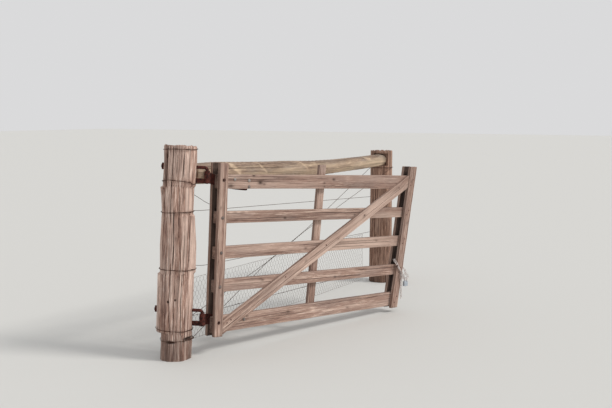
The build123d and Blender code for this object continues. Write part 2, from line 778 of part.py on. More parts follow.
STILE_BACK = RAIL_BACK + BACK_THICK
STRAP_BACK = RAIL_BACK + STRAP_THICK
RAIL_FRONT = LEAF_FRONT + FRONT_THICK
stile_bolts = [
    (STILE_BOLT_U, sizes[0] + up, LEAF_FRONT, STILE_BACK)
    for sizes, up in zip(RAILS.values(), STILE_BOLTS_UP)
]
strap_bolts = [
    (STRAP_BOLT_U, strap_height(UPPER_EYE, UPPER_TAIL_W, STRAP_BOLT_U) + 6, RAIL_FRONT, STRAP_BACK),
    (STRAP_BOLT_U, strap_height(LOWER_EYE, LOWER_TAIL_W, STRAP_BOLT_U), RAIL_FRONT, STRAP_BACK),
]


def drill(piece, bolts):
    """One piece with clearance holes for bolts through it."""
    with BuildPart() as drilled:
        add(piece)
        for u, w, _, _ in bolts:
            with BuildSketch(leaf_face(STILE_BACK + BACK_THICK)):
                with Locations((u, w)):
                    RegularPolygon(BOLT_R + BOLT_PLAY, ROUND_SIDES)
            extrude(amount=4 * RAIL_BACK, mode=Mode.SUBTRACT)
    return drilled.part


def make_bolts(bolts):
    """Round-headed bolts with square nuts, none touching another."""
    with BuildPart() as group:
        for u, w, front, back in bolts:
            with BuildSketch(leaf_face(back + SMALL_NUT_THICK + 4)):
                with Locations((u, w)):
                    RegularPolygon(BOLT_R, ROUND_SIDES)
            extrude(amount=back - front + SMALL_NUT_THICK + 4)
            with BuildSketch(leaf_face(front)):
                with Locations((u, w)):
                    RegularPolygon(HEAD_R, ROUND_SIDES)
            extrude(amount=HEAD_HEIGHT, taper=35)
            with BuildSketch(leaf_face(back)):
                with Locations((u, w)):
                    Rectangle(SMALL_NUT_ACROSS, SMALL_NUT_ACROSS)
            extrude(amount=-SMALL_NUT_THICK)
    return group.part


rail_bolts = {name: [bolt] for name, bolt in zip(RAILS, stile_bolts)}
rail_bolts["rail_1"].append(strap_bolts[0])
rail_bolts["rail_5"].append(strap_bolts[1])
for name, piece in rails.items():
    save(drill(piece, rail_bolts[name]), name)
save(drill(front_stile, stile_bolts), "hinge_stile_front")
save(drill(housed_stile.part, stile_bolts), "hinge_stile_back")
save(drill(upper_strap, [stile_bolts[0], strap_bolts[0]]), "upper_strap")
save(drill(lower_strap, [stile_bolts[-1], strap_bolts[1]]), "lower_strap")
save(make_bolts(stile_bolts), "stile_bolts")
save(make_bolts(strap_bolts), "strap_bolts")
save(latch_back, "latch_stile_back")
save(middle_stile, "middle_stile")
save(brace, "brace")

# Chain and padlock on the latch stile

LINK_PITCH = LINK_STRAIGHT + 2 * LINK_BEND - 2 * LINK_R - LINK_PLAY
LINK_HALF = LINK_STRAIGHT / 2 + LINK_BEND
CHAIN_V = LEAF_FRONT - LINK_BEND - LINK_R - SEAT
CHAIN_DIR = U_DIR * cos(radians(CHAIN_SLANT)) - W_DIR * sin(radians(CHAIN_SLANT))
CHAIN_SIDE = CHAIN_DIR.cross(V_DIR)
LAST_LINK = leaf_point(CHAIN_END[0], CHAIN_V, CHAIN_END[1])
DOWN = Vector(0, 0, -1)


def link_route(inward):
    """Racetrack of a link as straight facets, drawn in by inward from the wire's middle."""
    radius = LINK_BEND - inward
    points = []
    for end in (1, -1):
        for i in range(LINK_TURNS + 1):
            turn = radians(90 - 180 * i / LINK_TURNS) * end
            points.append((end * (LINK_STRAIGHT / 2 + radius * cos(turn)), radius * sin(turn)))
    return points


def make_link():
    """One chain link at the origin, its length along X, lying level."""
    with BuildPart() as link:
        for low, high in ((-1, 0), (0, 1)):
            for level in (low, high):
                wide = LINK_R if level == 0 else LINK_R / 2
                with BuildSketch(Plane.XY.offset(level * LINK_R * 0.87)):
                    Polygon(*link_route(-wide), align=None)
            loft(ruled=True)
        for low, high in ((-1, 0), (0, 1)):
            for level in (low, high):
                wide = LINK_R if level == 0 else LINK_R / 2
                with BuildSketch(Plane.XY.offset(level * LINK_R * 0.87)):
                    Polygon(*link_route(wide), align=None)
            loft(ruled=True, mode=Mode.SUBTRACT)
    return link.part


# The tail's first link hooks under the lower side of one flat link of the run.
HOOK_ALONG = 3
hook = LAST_LINK - CHAIN_DIR * (LINK_PITCH * (CHAIN_LINKS - TAIL_FROM) - HOOK_ALONG)
if CHAIN_SIDE.Z > 0:
    hook -= CHAIN_SIDE * LINK_BEND
else:
    hook += CHAIN_SIDE * LINK_BEND
tail_top = hook + DOWN * (LINK_STRAIGHT / 2 - 1)

LINK = make_link()


def put_link(middle, along, face):
    """Copy of the link with its middle, its length and the way it faces."""
    return LINK.moved(Plane(origin=middle, x_dir=along, z_dir=face).location)


with BuildPart() as chain:
    for number in range(CHAIN_LINKS):
        middle = LAST_LINK - CHAIN_DIR * (LINK_PITCH * number)
        add(put_link(middle, CHAIN_DIR, V_DIR if number % 2 else CHAIN_SIDE))
    for number in range(TAIL_LINKS):
        middle = tail_top + DOWN * (LINK_PITCH * number)
        add(put_link(middle, DOWN, V_DIR if number % 2 else ALONG))
save(chain.part, "chain")

# Staple in the first link, its crown square to the run
RUN_LENGTH = LINK_PITCH * (CHAIN_LINKS - 1) + LINK_HALF - 2 * LINK_R - LINK_PLAY / 2
STAPLE_CROWN = LAST_LINK - CHAIN_DIR * RUN_LENGTH
STAPLE_PLANE = Plane(origin=STAPLE_CROWN, x_dir=CHAIN_SIDE, z_dir=CHAIN_DIR)
INTO_BOARD = 1 if STAPLE_PLANE.y_dir.dot(V_DIR) > 0 else -1
with BuildPart() as chain_staple:
    with BuildLine(STAPLE_PLANE) as route:
        half = STAPLE_SPREAD / 2
        FilletPolyline(
            (-half, INTO_BOARD * STAPLE_DEPTH),
            (-half, 0),
            (half, 0),
            (half, INTO_BOARD * STAPLE_DEPTH),
            radius=2 * LINK_R,
        )
    leg = STAPLE_PLANE.from_local_coords(Vector(-half, INTO_BOARD * STAPLE_DEPTH, 0))
    with BuildSketch(Plane(origin=leg, z_dir=-V_DIR)):
        RegularPolygon(LINK_R, 8)
    sweep(path=route.wires()[0])
save(chain_staple.part, "chain_staple")

with BuildPart() as stapled_stile:
    add(latch_front)
    for across in (-half, half):
        leg = STAPLE_PLANE.from_local_coords(Vector(across, 0, 0))
        with BuildSketch(Plane(origin=leg, z_dir=V_DIR)):
            Circle(LINK_R + SEAT)
        extrude(amount=STAPLE_DEPTH + SEAT, mode=Mode.SUBTRACT)
save(stapled_stile.part, "latch_stile_front")

# Padlock, hanging upright on the run's last link
SHACKLE_TOP = LAST_LINK + CHAIN_DIR * (LINK_HALF - LINK_R - SHACKLE_R - LINK_PLAY / 2)
LOCK_ORIGIN = SHACKLE_TOP + CHAIN_DIR * SHACKLE_BEND
LOCK_PLANE = Plane(origin=LOCK_ORIGIN, x_dir=ALONG, z_dir=-V_DIR)
with BuildPart() as padlock_shackle:
    # two straight legs and a half turn between them
    with BuildSketch(Plane(origin=LOCK_ORIGIN, x_dir=ALONG)):
        with Locations((-SHACKLE_BEND, 0), (SHACKLE_BEND, 0)):
            RegularPolygon(SHACKLE_R, 8)
    extrude(amount=-SHACKLE_LEG - SHACKLE_SUNK)
    with BuildSketch(Plane(origin=LOCK_ORIGIN, x_dir=ALONG)):
        with Locations((-SHACKLE_BEND, 0)):
            RegularPolygon(SHACKLE_R, 8)
    revolve(axis=Axis(LOCK_ORIGIN, V_DIR), revolution_arc=180)
save(padlock_shackle.part, "padlock_shackle")

with BuildPart() as padlock_body:
    with BuildSketch(LOCK_PLANE.offset(-LOCK_THICK / 2)):
        with Locations((0, -SHACKLE_LEG - LOCK_HEIGHT / 2)):
            RectangleRounded(LOCK_WIDTH, LOCK_HEIGHT, 7)
    extrude(amount=LOCK_THICK)
    lock_top = LOCK_PLANE.from_local_coords(Vector(0, -SHACKLE_LEG, 0))
    with BuildSketch(Plane(origin=lock_top, x_dir=ALONG)):
        with Locations((-SHACKLE_BEND, 0), (SHACKLE_BEND, 0)):
            Circle(SHACKLE_R + SEAT)
    extrude(amount=-SHACKLE_SUNK - SEAT, mode=Mode.SUBTRACT)
save(padlock_body.part, "padlock_body")
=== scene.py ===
"""Weathered field gate between two hewn posts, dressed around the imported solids.

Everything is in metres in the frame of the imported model: the hinge post's foot is the origin, +X runs
along the fence and +Z up. The hinge post, the pins and the leaf share one leaning frame (u, v, w).
"""
import math

import bpy
import numpy as np
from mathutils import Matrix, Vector


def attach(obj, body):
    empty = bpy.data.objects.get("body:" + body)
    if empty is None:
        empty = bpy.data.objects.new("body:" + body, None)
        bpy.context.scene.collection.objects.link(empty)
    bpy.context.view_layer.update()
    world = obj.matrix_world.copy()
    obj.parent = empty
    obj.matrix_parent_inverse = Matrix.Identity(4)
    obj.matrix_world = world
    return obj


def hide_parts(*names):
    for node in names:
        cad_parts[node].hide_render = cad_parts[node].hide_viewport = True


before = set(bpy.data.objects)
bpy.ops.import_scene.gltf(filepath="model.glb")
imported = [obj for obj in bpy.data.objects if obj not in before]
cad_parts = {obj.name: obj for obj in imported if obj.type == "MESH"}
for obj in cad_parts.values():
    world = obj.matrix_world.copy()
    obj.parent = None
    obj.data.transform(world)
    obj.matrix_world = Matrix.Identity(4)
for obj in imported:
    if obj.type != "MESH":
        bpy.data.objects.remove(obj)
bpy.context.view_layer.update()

# Lie of the leaf and the hinge post

LEAF_BEARING = math.radians(-15.1)
LEAN = math.radians(3.37)
PIN_U, PIN_V = 0.1343, -0.1275
VIEW_BEARING = math.radians(-58.5)

ALONG = np.array([math.cos(LEAF_BEARING), math.sin(LEAF_BEARING), 0.0])
V_DIR = np.array([-math.sin(LEAF_BEARING), math.cos(LEAF_BEARING), 0.0])
UP = np.array([0.0, 0.0, 1.0])
ACROSS = np.array([1.0, 0.0, 0.0])
TURN = 2 * math.pi
U_DIR = ALONG * math.cos(LEAN) - UP * math.sin(LEAN)
W_DIR = ALONG * math.sin(LEAN) + UP * math.cos(LEAN)

# Sizes repeated from the solids

# hinge post: height, width, depth and shift of each station, seen square to VIEW_BEARING
POST_HEIGHT = 1.498
POST_STATIONS = np.array([
    (-0.030, 0.226, 0.210, 0.010),
    (0.180, 0.226, 0.212, 0.010),
    (0.190, 0.257, 0.216, -0.0085),
    (0.598, 0.258, 0.218, -0.012),
    (0.612, 0.254, 0.216, 0.0015),
    (0.800, 0.256, 0.214, -0.0025),
    (1.006, 0.235, 0.212, -0.007),
    (1.022, 0.223, 0.210, -0.012),
    (1.120, 0.231, 0.209, -0.0145),
    (1.200, 0.241, 0.208, -0.0195),
    (1.214, 0.234, 0.206, -0.007),
    (1.390, 0.234, 0.205, -0.003),
    (POST_HEIGHT, 0.234, 0.204, -0.006),
])
POST_FLAT = 0.111
POST_SIDES = 14
POST_SQUARENESS = 2.7
SPAN = 3.230
FAR_HEIGHT, FAR_WIDTH, FAR_DEPTH, FAR_TAPER = 1.339, 0.222, 0.228, 0.008
FAR_SQUARENESS = 2.5

STAY_START, STAY_END, STAY_SAG = (-0.016, 1.287), (-0.020, 1.244), 0.030
STAY_NEAR, STAY_FAR = (0.160, 0.146), (0.124, 0.128)
STAY_SIDES, STAY_SQUARENESS = 10, 2.4
STAY_TIP = SPAN - 0.050
STAY_SEAT = STAY_END[1] - STAY_FAR[0] / 2 + 0.004
STAY_BACK = STAY_END[0] + STAY_FAR[1] / 2 - 0.004

RAIL_START, RAIL_THICK = 0.094, 0.039
RAILS = {
    "rail_1": (1.199, 0.102, 1.193, 0.116),
    "rail_2": (0.952, 0.089, 0.946, 0.087),
    "rail_3": (0.698, 0.092, 0.698, 0.089),
    "rail_4": (0.461, 0.091, 0.450, 0.089),
    "rail_5": (0.169, 0.119, 0.182, 0.118),
}
FRONT_THICK, BACK_THICK, LEAF_FRONT = 0.032, 0.030, -0.034
RAIL_FRONT = LEAF_FRONT + FRONT_THICK
RAIL_BACK = RAIL_FRONT + RAIL_THICK
STILE_BACK = RAIL_BACK + BACK_THICK
HINGE_EDGE, HINGE_WIDTH, BACK_SET = 0.087, 0.075, -0.009
STILE_BOTTOM, STILE_TOP = 0.147, 1.383
LATCH_WIDTH, LATCH_TOP_U, LATCH_LEAN = 0.080, 2.204, math.radians(8.07)
LATCH_BOTTOM, LATCH_TOP, LATCH_BACK_SET, RAIL_INSET = 0.166, 1.386, -0.006, 0.012
MIDDLE_WIDTH, MIDDLE_TOP_U, MIDDLE_LEAN = 0.072, 1.163, math.radians(3.56)
MIDDLE_BOTTOM, MIDDLE_TOP = 0.180, 1.382
BRACE_WIDTH, BRACE_THICK, BRACE_FOOT_W, BRACE_HEAD_W = 0.090, 0.028, 0.208, 1.257

WIRE_R = 0.002
SEAT, BAND_GAP = 0.0003, 0.0005    # clearance of what is laid on something, and of a band round its post
BANDS = {
    "top_band": (POST_HEIGHT - 0.034, 0.0),
    "second_band": (1.234, 0.022),
    "third_band": (1.034, 0.0),
    "fourth_band": (0.636, 0.008),
    "foot_band": (0.214, 0.014),
    "near_loop": (0.142, 0.0),
}
FAR_LOOP = 1.166
WIRE_PAST = 0.070                  # the line wires end this far past the far post's axis
OVER_BAND = BAND_GAP + 2 * WIRE_R + SEAT + WIRE_R

TWIST, TWIST_TURNS = (1.150, 1.750), 9    # where the brace wire's two strands are twisted together
TOP_WIRE = ("third_band", (0.450, 0.991), (SPAN, 0.861))
MIDDLE_WIRE = ("fourth_band", (0.500, 0.570), (SPAN, 0.500))
BOTTOM_WIRE = ("foot_band", (SPAN, 0.100))
LOOSE_WIRE = ("second_band", (0.440, 1.090), (0.536, 1.037), (0.750, 0.982))
NET_BOTTOM, NET_TOP, NET_MARGIN = 0.030, 0.495, 0.175
NET_CELL = (0.040, 0.020, 0.013)    # a mesh's width, its twisted side and its slanting side's rise

PIN_R, GUDGEON_BEND, BOLT_SHOWING, NUT_LET_IN = 0.012, 0.022, 0.003, 0.009
NUT_ACROSS, NUT_THICK, WASHER_R, WASHER_THICK = 0.036, 0.016, 0.026, 0.004
COLLAR_R, COLLAR_THICK = 0.019, 0.005
KEEPER_R, KEEPER_THICK, KEEPER_HEIGHT, KEEPER_DRIVEN = 0.022, 0.016, 0.034, 0.045
STRAP_THICK, EYE_PLAY, EYE_HEIGHT, STRAP_LENGTH, STRAP_TAIL = 0.008, 0.0005, 0.047, 0.400, 0.044
HINGES = {"upper": (1.346, 1.204), "lower": (0.345, 0.240)}    # heights of the bolt and of the strap's tail
HEAD_R, HEAD_HEIGHT, SMALL_BOLT_R, SMALL_NUT_ACROSS, SMALL_NUT_THICK = 0.012, 0.006, 0.005, 0.017, 0.008
STILE_BOLT_U, STRAP_BOLT_U = 0.123, 0.380
STILE_BOLTS_UP = (0.064, 0.044, 0.050, 0.045, 0.080)

STAPLE_SPREAD, STAPLE_DEPTH = 0.020, 0.020
LOCK_WIDTH, LOCK_HEIGHT, LOCK_THICK = 0.046, 0.044, 0.019
SHACKLE_R, SHACKLE_BEND, SHACKLE_LEG, SHACKLE_SUNK = 0.0035, 0.013, 0.015, 0.012
LINK_R, LINK_BEND, LINK_STRAIGHT, LINK_PLAY = 0.0025, 0.007, 0.014, 0.0004
CHAIN_LINKS, TAIL_LINKS, TAIL_FROM = 7, 10, 4
CHAIN_END = (2.134, 0.423)
CHAIN_SLANT = math.radians(48)


def place(u, v, w):
    """Point of the leaning frame: u along the leaf, v across it, w up the lean, from the post's foot."""
    u, v, w = np.broadcast_arrays(np.asarray(u, float), v, w)
    return u[..., None] * U_DIR + v[..., None] * V_DIR + w[..., None] * W_DIR


def leaf(u, v, w):
    """Point of the leaf: the same with u and v from the hinge axis."""
    return place(PIN_U + np.asarray(u, float), PIN_V + np.asarray(v, float), w)


def unit(vectors):
    """The same vectors, one long."""
    return vectors / np.maximum(np.linalg.norm(vectors, axis=-1, keepdims=True), 1e-12)


def ease(x, low=0.0, high=1.0):
    """Smooth step from 0 at low to 1 at high."""
    t = np.clip((np.asarray(x, float) - low) / (high - low), 0, 1)
    return t * t * (3 - 2 * t)


def plateau(x, low, high, fade):
    """1 between low and high, easing to 0 inside both ends."""
    return ease(x, low, low + fade) * (1 - ease(x, high - fade, high))


def clamp(x):
    """x held between 0 and 1."""
    return np.clip(x, 0, 1)


CHANCES = 4096
CHANCE = np.random.default_rng(41).random(CHANCES) * 2 - 1


def rough(x, y, seed):
    """Smooth noise between -1 and 1: random heights on a unit lattice, joined by smooth steps."""
    x, y = np.broadcast_arrays(np.asarray(x, float) + 17.3 * seed, np.asarray(y, float) + 5.7 * seed)
    ix, iy = np.floor(x).astype(int), np.floor(y).astype(int)
    tx, ty = ease(x - ix), ease(y - iy)

    def height(i, j):
        return CHANCE[(i * 7919 + j * 104729 + seed * 613) % CHANCES]

    low = height(ix, iy) * (1 - tx) + height(ix + 1, iy) * tx
    high = height(ix, iy + 1) * (1 - tx) + height(ix + 1, iy + 1) * tx
    return low * (1 - ty) + high * ty


def swell(x, y, seed):
    """The same noise between 0 and 1."""
    return 0.5 + 0.5 * rough(x, y, seed)


def run_along(path):
    """Distance from a path's start to each of its points."""
    return np.concatenate([[0], np.cumsum(np.linalg.norm(np.diff(path, axis=0), axis=1))])


def direction(path, ring=False):
    """Unit tangent at each point of a path, a closed one when ring is set."""
    return unit(np.roll(path, -1, 0) - np.roll(path, 1, 0) if ring else np.gradient(path, axis=0))


# Meshes from grids

def tube_faces(rows, cols, ring):
    """Quads between neighbouring rows of a grid whose columns close; the rows close too when ring is set."""
    i = np.arange(rows if ring else rows - 1)[:, None]
    j = np.arange(cols)[None, :]
    here, after, beside = i * cols, (i + 1) % rows * cols, (j + 1) % cols
    return np.stack([here + j, here + beside, after + beside, after + j], -1).reshape(-1, 4)


def shell(points, ring=False):
    """Closed skin of a grid of points: columns close round, and each end of the rows closes on a pole."""
    rows, cols = points.shape[:2]
    verts = points.reshape(-1, 3)
    quads = tube_faces(rows, cols, ring)
    if ring:
        return verts, quads, np.zeros((0, 3), int)
    j = np.arange(cols)
    beside = (j + 1) % cols
    last = (rows - 1) * cols
    start_pole, end_pole = len(verts), len(verts) + 1
    start = np.stack([np.full(cols, start_pole), beside, j], -1)
    end = np.stack([np.full(cols, end_pole), last + j, last + beside], -1)
    verts = np.concatenate([verts, points[:1].mean(1), points[-1:].mean(1)])
    return verts, quads, np.concatenate([start, end])


def outward(verts, quads, tris):
    """The same skin with its faces turned outwards: the volume under all its faces comes out positive."""
    a, b, c, d = (verts[quads[:, k]] for k in range(4))
    volume = np.einsum("ij,ij->", a, np.cross(b, c)) + np.einsum("ij,ij->", a, np.cross(c, d))
    if len(tris):
        a, b, c = (verts[tris[:, k]] for k in range(3))
        volume += np.einsum("ij,ij->", a, np.cross(b, c))
    if volume < 0:
        quads, tris = quads[:, ::-1], tris[:, ::-1]
    return verts, quads, tris


def make_piece(name, skins, body, look, *nodes, marks=None, sharp=None):
    """One object from several closed skins, in place of the named nodes.

    look is its slot, which is not used, and its material, marks holds arrays of its points' own attributes,
    and sharp is the angle in degrees over which its edges stay crisp.
    """
    all_verts, all_quads, all_tris, base = [], [], [], 0
    for skin in skins:
        verts, quads, tris = outward(*skin)
        all_verts.append(verts)
        all_quads.append(quads + base)
        all_tris.append(tris + base)
        base += len(verts)
    verts, quads, tris = (np.concatenate(parts) for parts in (all_verts, all_quads, all_tris))
    mesh = bpy.data.meshes.new(name)
    mesh.vertices.add(len(verts))
    mesh.vertices.foreach_set("co", verts.ravel())
    loops = np.concatenate([quads.ravel(), tris.ravel()])
    sizes = np.concatenate([np.full(len(quads), 4), np.full(len(tris), 3)])
    mesh.loops.add(len(loops))
    mesh.loops.foreach_set("vertex_index", loops)
    mesh.polygons.add(len(sizes))
    mesh.polygons.foreach_set("loop_start", np.concatenate([[0], np.cumsum(sizes)[:-1]]))
    mesh.polygons.foreach_set("loop_total", sizes)
    mesh.polygons.foreach_set("use_smooth", np.ones(len(sizes), bool))
    for key, values in (marks or {}).items():
        mesh.attributes.new(key, "FLOAT_VECTOR", "POINT").data.foreach_set("vector", values.ravel())
    mesh.update(calc_edges=True)
    mesh.validate()
    if sharp:
        mesh.set_sharp_from_angle(angle=math.radians(sharp))
    slot, material = look
    mesh.materials.append(material)
    piece = bpy.data.objects.new(name, mesh)
    bpy.context.scene.collection.objects.link(piece)
    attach(piece, body)
    if nodes:
        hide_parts(*nodes)


def tube(path, radius, sides=8, up=UP, ring=False):
    """Round wire: a circle carried along a path, its frame held by the up direction."""
    path = np.asarray(path, float)
    tangent = direction(path, ring)
    side = unit(np.cross(up, tangent))
    top = np.cross(tangent, side)
    turn = np.linspace(0, TURN, sides, endpoint=False)
    radius = np.broadcast_to(np.asarray(radius, float), (len(path),))[:, None, None]
    circle = np.cos(turn)[None, :, None] * side[:, None] + np.sin(turn)[None, :, None] * top[:, None]
    return shell(path[:, None] + radius * circle, ring)


# Materials

def paint(code):
    """Linear colour of a six-figure screen colour."""
    parts = [int(code[i:i + 2], 16) / 255 for i in (0, 2, 4)]
    return tuple(p / 12.92 if p <= 0.04045 else ((p + 0.055) / 1.055) ** 2.4 for p in parts) + (1.0,)


class Finish:
    """A node material put together socket by socket."""

    def __init__(self, name):
        self.material = bpy.data.materials.new(name)
        self.material.use_nodes = True
        self.tree = self.material.node_tree

    def fill(self, node, inputs):
        """Set a node's inputs, each to a value or linked to a socket of an earlier node."""
        for key, value in inputs.items():
            if isinstance(value, bpy.types.NodeSocket):
                self.tree.links.new(value, node.inputs[key])
            else:
                node.inputs[key].default_value = value

    def add(self, kind, inputs, **settings):
        """A node with its settings and its inputs."""
        made = self.tree.nodes.new(kind)
        for key, value in settings.items():
            setattr(made, key, value)
        self.fill(made, inputs)
        return made

    def mark(self, name, output):
        """One of the mesh's own attributes."""
        return self.add("ShaderNodeAttribute", {}, attribute_name=name).outputs[output]

    def noise(self, vector, along, across, detail, roughness=0.55, distortion=0.0):
        """Noise with so many waves a metre along the piece and across it."""
        mapped = self.add("ShaderNodeMapping", {"Vector": vector, "Scale": (along, across, across)})
        return self.add("ShaderNodeTexNoise", {
            "Vector": mapped.outputs[0], "Scale": 1.0, "Detail": detail,
            "Roughness": roughness, "Distortion": distortion,
        }).outputs["Fac"]

    def ramp(self, value, *stops):
        """Colours or greys at places between 0 and 1."""
        made = self.add("ShaderNodeValToRGB", {"Fac": value})
        line = made.color_ramp
        while len(line.elements) < len(stops):
            line.elements.new(0.5)
        for element, (where, colour) in zip(line.elements, stops):
            element.position = where
            element.color = colour if isinstance(colour, tuple) else (colour, colour, colour, 1)
        return made.outputs["Color"]

    def mix(self, share, under, over, blend="MIX"):
        """One colour over another by a share."""
        return self.add("ShaderNodeMix", {0: share, 6: under, 7: over},
                        data_type="RGBA", blend_type=blend, clamp_factor=True).outputs[2]

    def shade(self, colour, value, *stops):
        """A colour made darker or lighter by greys that follow a value."""
        return self.mix(1.0, colour, self.ramp(value, *stops), "MULTIPLY")

    def times(self, a, b):
        """Product of two numbers."""
        return self.add("ShaderNodeMath", {0: a, 1: b}, operation="MULTIPLY").outputs[0]

    def total(self, *terms):
        """Sum of numbers, each times its weight."""
        so_far = 0.0
        for value, weight in terms:
            made = self.add("ShaderNodeMath", {0: value, 1: weight, 2: so_far}, operation="MULTIPLY_ADD")
            so_far = made.outputs[0]
        return so_far

    def look(self, slot, colour, height, relief, strength, **others):
        """The slot and the material, its shader given a colour, a relief in metres and other inputs."""
        bump = self.add("ShaderNodeBump", {"Height": height, "Distance": relief, "Strength": strength})
        self.fill(self.tree.nodes["Principled BSDF"], {
            "Base Color": colour, "Normal": bump.outputs[0],
            **{key.replace("_", " "): value for key, value in others.items()},
        })
        return slot, self.material


def wood(name, colours, across, grey_share, relief, soft=1.0):
    """Weathered timber: streaks along the grain, fine dark checks, grey bleaching, stains, and splits
    filled with painted shade.

    The grain attribute holds metres along the piece and through its section; wear_and_painted_light holds the
    painted shade of a split, the wear of an arris with any painted highlight, and a stain with any painted
    shade. The colours are pale, middle, dark, deep and grey, across is how fine the grain is, and soft how
    slowly it passes from dark to pale.
    """
    pale, middle, dark, deep, grey = (paint(code) for code in colours.split())
    finish = Finish(name)
    grain = finish.mark("grain", "Vector")
    wear_and_painted_light = finish.mark("wear_and_painted_light", "Vector")
    depth, wear, stain = finish.add("ShaderNodeSeparateXYZ", {"Vector": wear_and_painted_light}).outputs
    bands = finish.noise(grain, 0.9, across * 0.5, 3, distortion=0.6)
    streaks = finish.noise(grain, 7.0, across * 3.2, 6, roughness=0.72)
    hairs = finish.noise(grain, 2.6, across * 5.5, 3)
    fibres = finish.noise(grain, 16.0, across * 11.0, 3)
    patches = finish.noise(grain, 2.6, 9.0, 4, roughness=0.6)
    board_tone = finish.noise(grain, 0.22, 0.22, 0)
    tone = finish.total((bands, 0.28), (streaks, 0.72))
    colour = finish.ramp(tone, (0.49 - 0.11 * soft, dark), (0.49 - 0.035 * soft, middle),
                         (0.49 + 0.035 * soft, middle), (0.49 + 0.12 * soft, pale))
    colour = finish.mix(finish.ramp(patches, (0.46, 0.0), (0.66, grey_share)), colour, grey)
    colour = finish.shade(colour, board_tone, (0.25, 0.86), (0.75, 1.10))
    colour = finish.shade(colour, fibres, (0.34, 0.74), (0.66, 1.12))
    lines = finish.ramp(hairs, (0.56, 0.0), (0.63, 0.9))
    colour = finish.mix(lines, colour, dark)
    # rubbed arrises and painted highlights are paler; stains, painted shade and the splits' painted shade lie
    # over all
    colour = finish.mix(finish.times(wear, 0.55), colour, pale)
    colour = finish.mix(finish.times(stain, finish.ramp(patches, (0.2, 0.75), (0.7, 1.0))), colour, deep)
    # the splits, painted near black: painted shade inside them
    colour = finish.mix(finish.ramp(depth, (0.05, 0.0), (0.75, 1.0)), colour, deep)
    height = finish.total((streaks, 0.8), (fibres, 0.3), (lines, -0.5))
    return finish.look(name, colour, height, relief, 0.8, Roughness=0.85, Specular_IOR_Level=0.25)


def metal(name, colours, metallic, rust_from, rust_to, smooth, dull, scale=60.0, zinc=None, slot=None):
    """Aged metal on Object coordinates: patches of rust over the base, rougher where it has rusted.

    The colours are the base's two and the rust's. Rust begins and is full at two levels of the noise, and
    the roughness goes from smooth to dull between them.
    """
    base, other, rust = (paint(code) for code in colours.split())
    finish = Finish(name)
    spot = finish.add("ShaderNodeTexCoord", {}).outputs["Object"]
    broad = finish.noise(spot, scale, scale, 5, roughness=0.6)
    fine = finish.noise(spot, scale * 6, scale * 6, 3)
    colour = finish.mix(finish.ramp(fine, (0.35, 0.0), (0.65, 1.0)), base, other)
    colour = finish.mix(finish.ramp(broad, (rust_from, 0.0), (rust_to, 1.0)), colour, rust)
    if zinc:
        # newer bolts keep a pale dull coat
        colour = finish.mix(finish.times(finish.mark("zinc", "Fac"), 0.9), colour, paint(zinc))
    roughness = finish.add("ShaderNodeMapRange", {
        "Value": broad, "From Min": rust_from, "From Max": rust_to, "To Min": smooth, "To Max": dull})
    return finish.look(slot or name, colour, fine, 0.0004, 0.7,
                       Metallic=metallic, Roughness=roughness.outputs[0])


POST_WOOD = wood("hinge_post_wood", "f6dccd b99585 62433a 24130d b7a096", 34.0, 0.40, 0.004, soft=0.70)
FAR_WOOD = wood("far_post_wood", "c9a591 987563 50372d 1d1210 978275", 34.0, 0.40, 0.004, soft=0.75)
LOG_WOOD = wood("log_wood", "e0c8aa a48c7a 715e51 3a2c26 948980", 40.0, 0.60, 0.002)
BOARD_WOOD = wood("board_wood", "dfc5b5 a98b7d 6b5046 261711 9f8d85", 42.0, 0.45, 0.0014)
IRON = metal("rusty_iron", "46190f 64291c 270b07", 0.20, 0.42, 0.60, 0.75, 0.90)
WIRE = metal("fence_wire", "3f2c22 54402f 4a2314", 0.35, 0.45, 0.60, 0.65, 0.85, 40.0)
NET = metal("netting_wire", "6b625b 857c74 5a3524", 0.40, 0.45, 0.62, 0.50, 0.80, 12.0)
BOLT = metal("bolt_iron", "3c241b 5a3a2d 2a0d08", 0.25, 0.42, 0.60, 0.70, 0.90,
             zinc="b3aca6", slot="rusty_iron")
CHAIN_STEEL = metal("chain_steel", "cbc1bd ded6d2 7a5646", 0.35, 0.56, 0.70, 0.42, 0.75, 70.0)
LOCK_STEEL = metal("padlock_steel", "b2bcc6 c4cdd6 8f8580", 0.70, 0.58, 0.72, 0.32, 0.60)

# Timber: any section carried along a piece, split and worn

COLUMN_GAP = 4e-5    # least step between two columns, as a share of the way round


def split(girth, at, half, run, deep, wander, waves, slope, fade):
    """A split: place round the girth, half width, part of the length that it runs over, depth and course."""
    return {"at": at % 1.0, "half": half / girth, "run": run, "deep": deep, "wander": wander / girth,
            "waves": waves, "slope": slope / girth, "fade": fade}


def spread_columns(count, checks, corners=()):
    """Places round a section between 0 and 1: even ones, with five close together at each split."""
    places = [np.arange(count) / count, np.asarray(corners, float)]
    for check in checks:
        places.append(check["at"] + np.array([-1.0, -0.45, 0.0, 0.45, 1.0]) * check["half"])
    places = np.sort(np.concatenate(places) % 1.0)
    return places[np.concatenate([[True], np.diff(places) > 2e-4])]


def follow_checks(along, places, checks, corners, seed):
    """How far each column is moved round the section so that the splits wander but the corners stay."""
    anchors = [(c % 1.0, np.zeros_like(along)) for c in corners]
    for number, check in enumerate(checks):
        wave = rough(along * check["waves"], number * 3.1, seed + 5) * check["wander"]
        anchors.append((check["at"], wave + check["slope"] * (along - 0.5)))
    anchors.sort(key=lambda pair: pair[0])
    spots = np.array([pair[0] for pair in anchors])
    moves = np.stack([pair[1] for pair in anchors])
    spots = np.concatenate([[spots[-1] - 1], spots, [spots[0] + 1]])
    moves = np.concatenate([moves[-1:], moves, moves[:1]])
    index = np.clip(np.searchsorted(spots, places, side="right") - 1, 0, len(spots) - 2)
    share = (places - spots[index]) / np.maximum(spots[index + 1] - spots[index], 1e-9)
    return (moves[index] * (1 - share)[:, None] + moves[index + 1] * share[:, None]).T


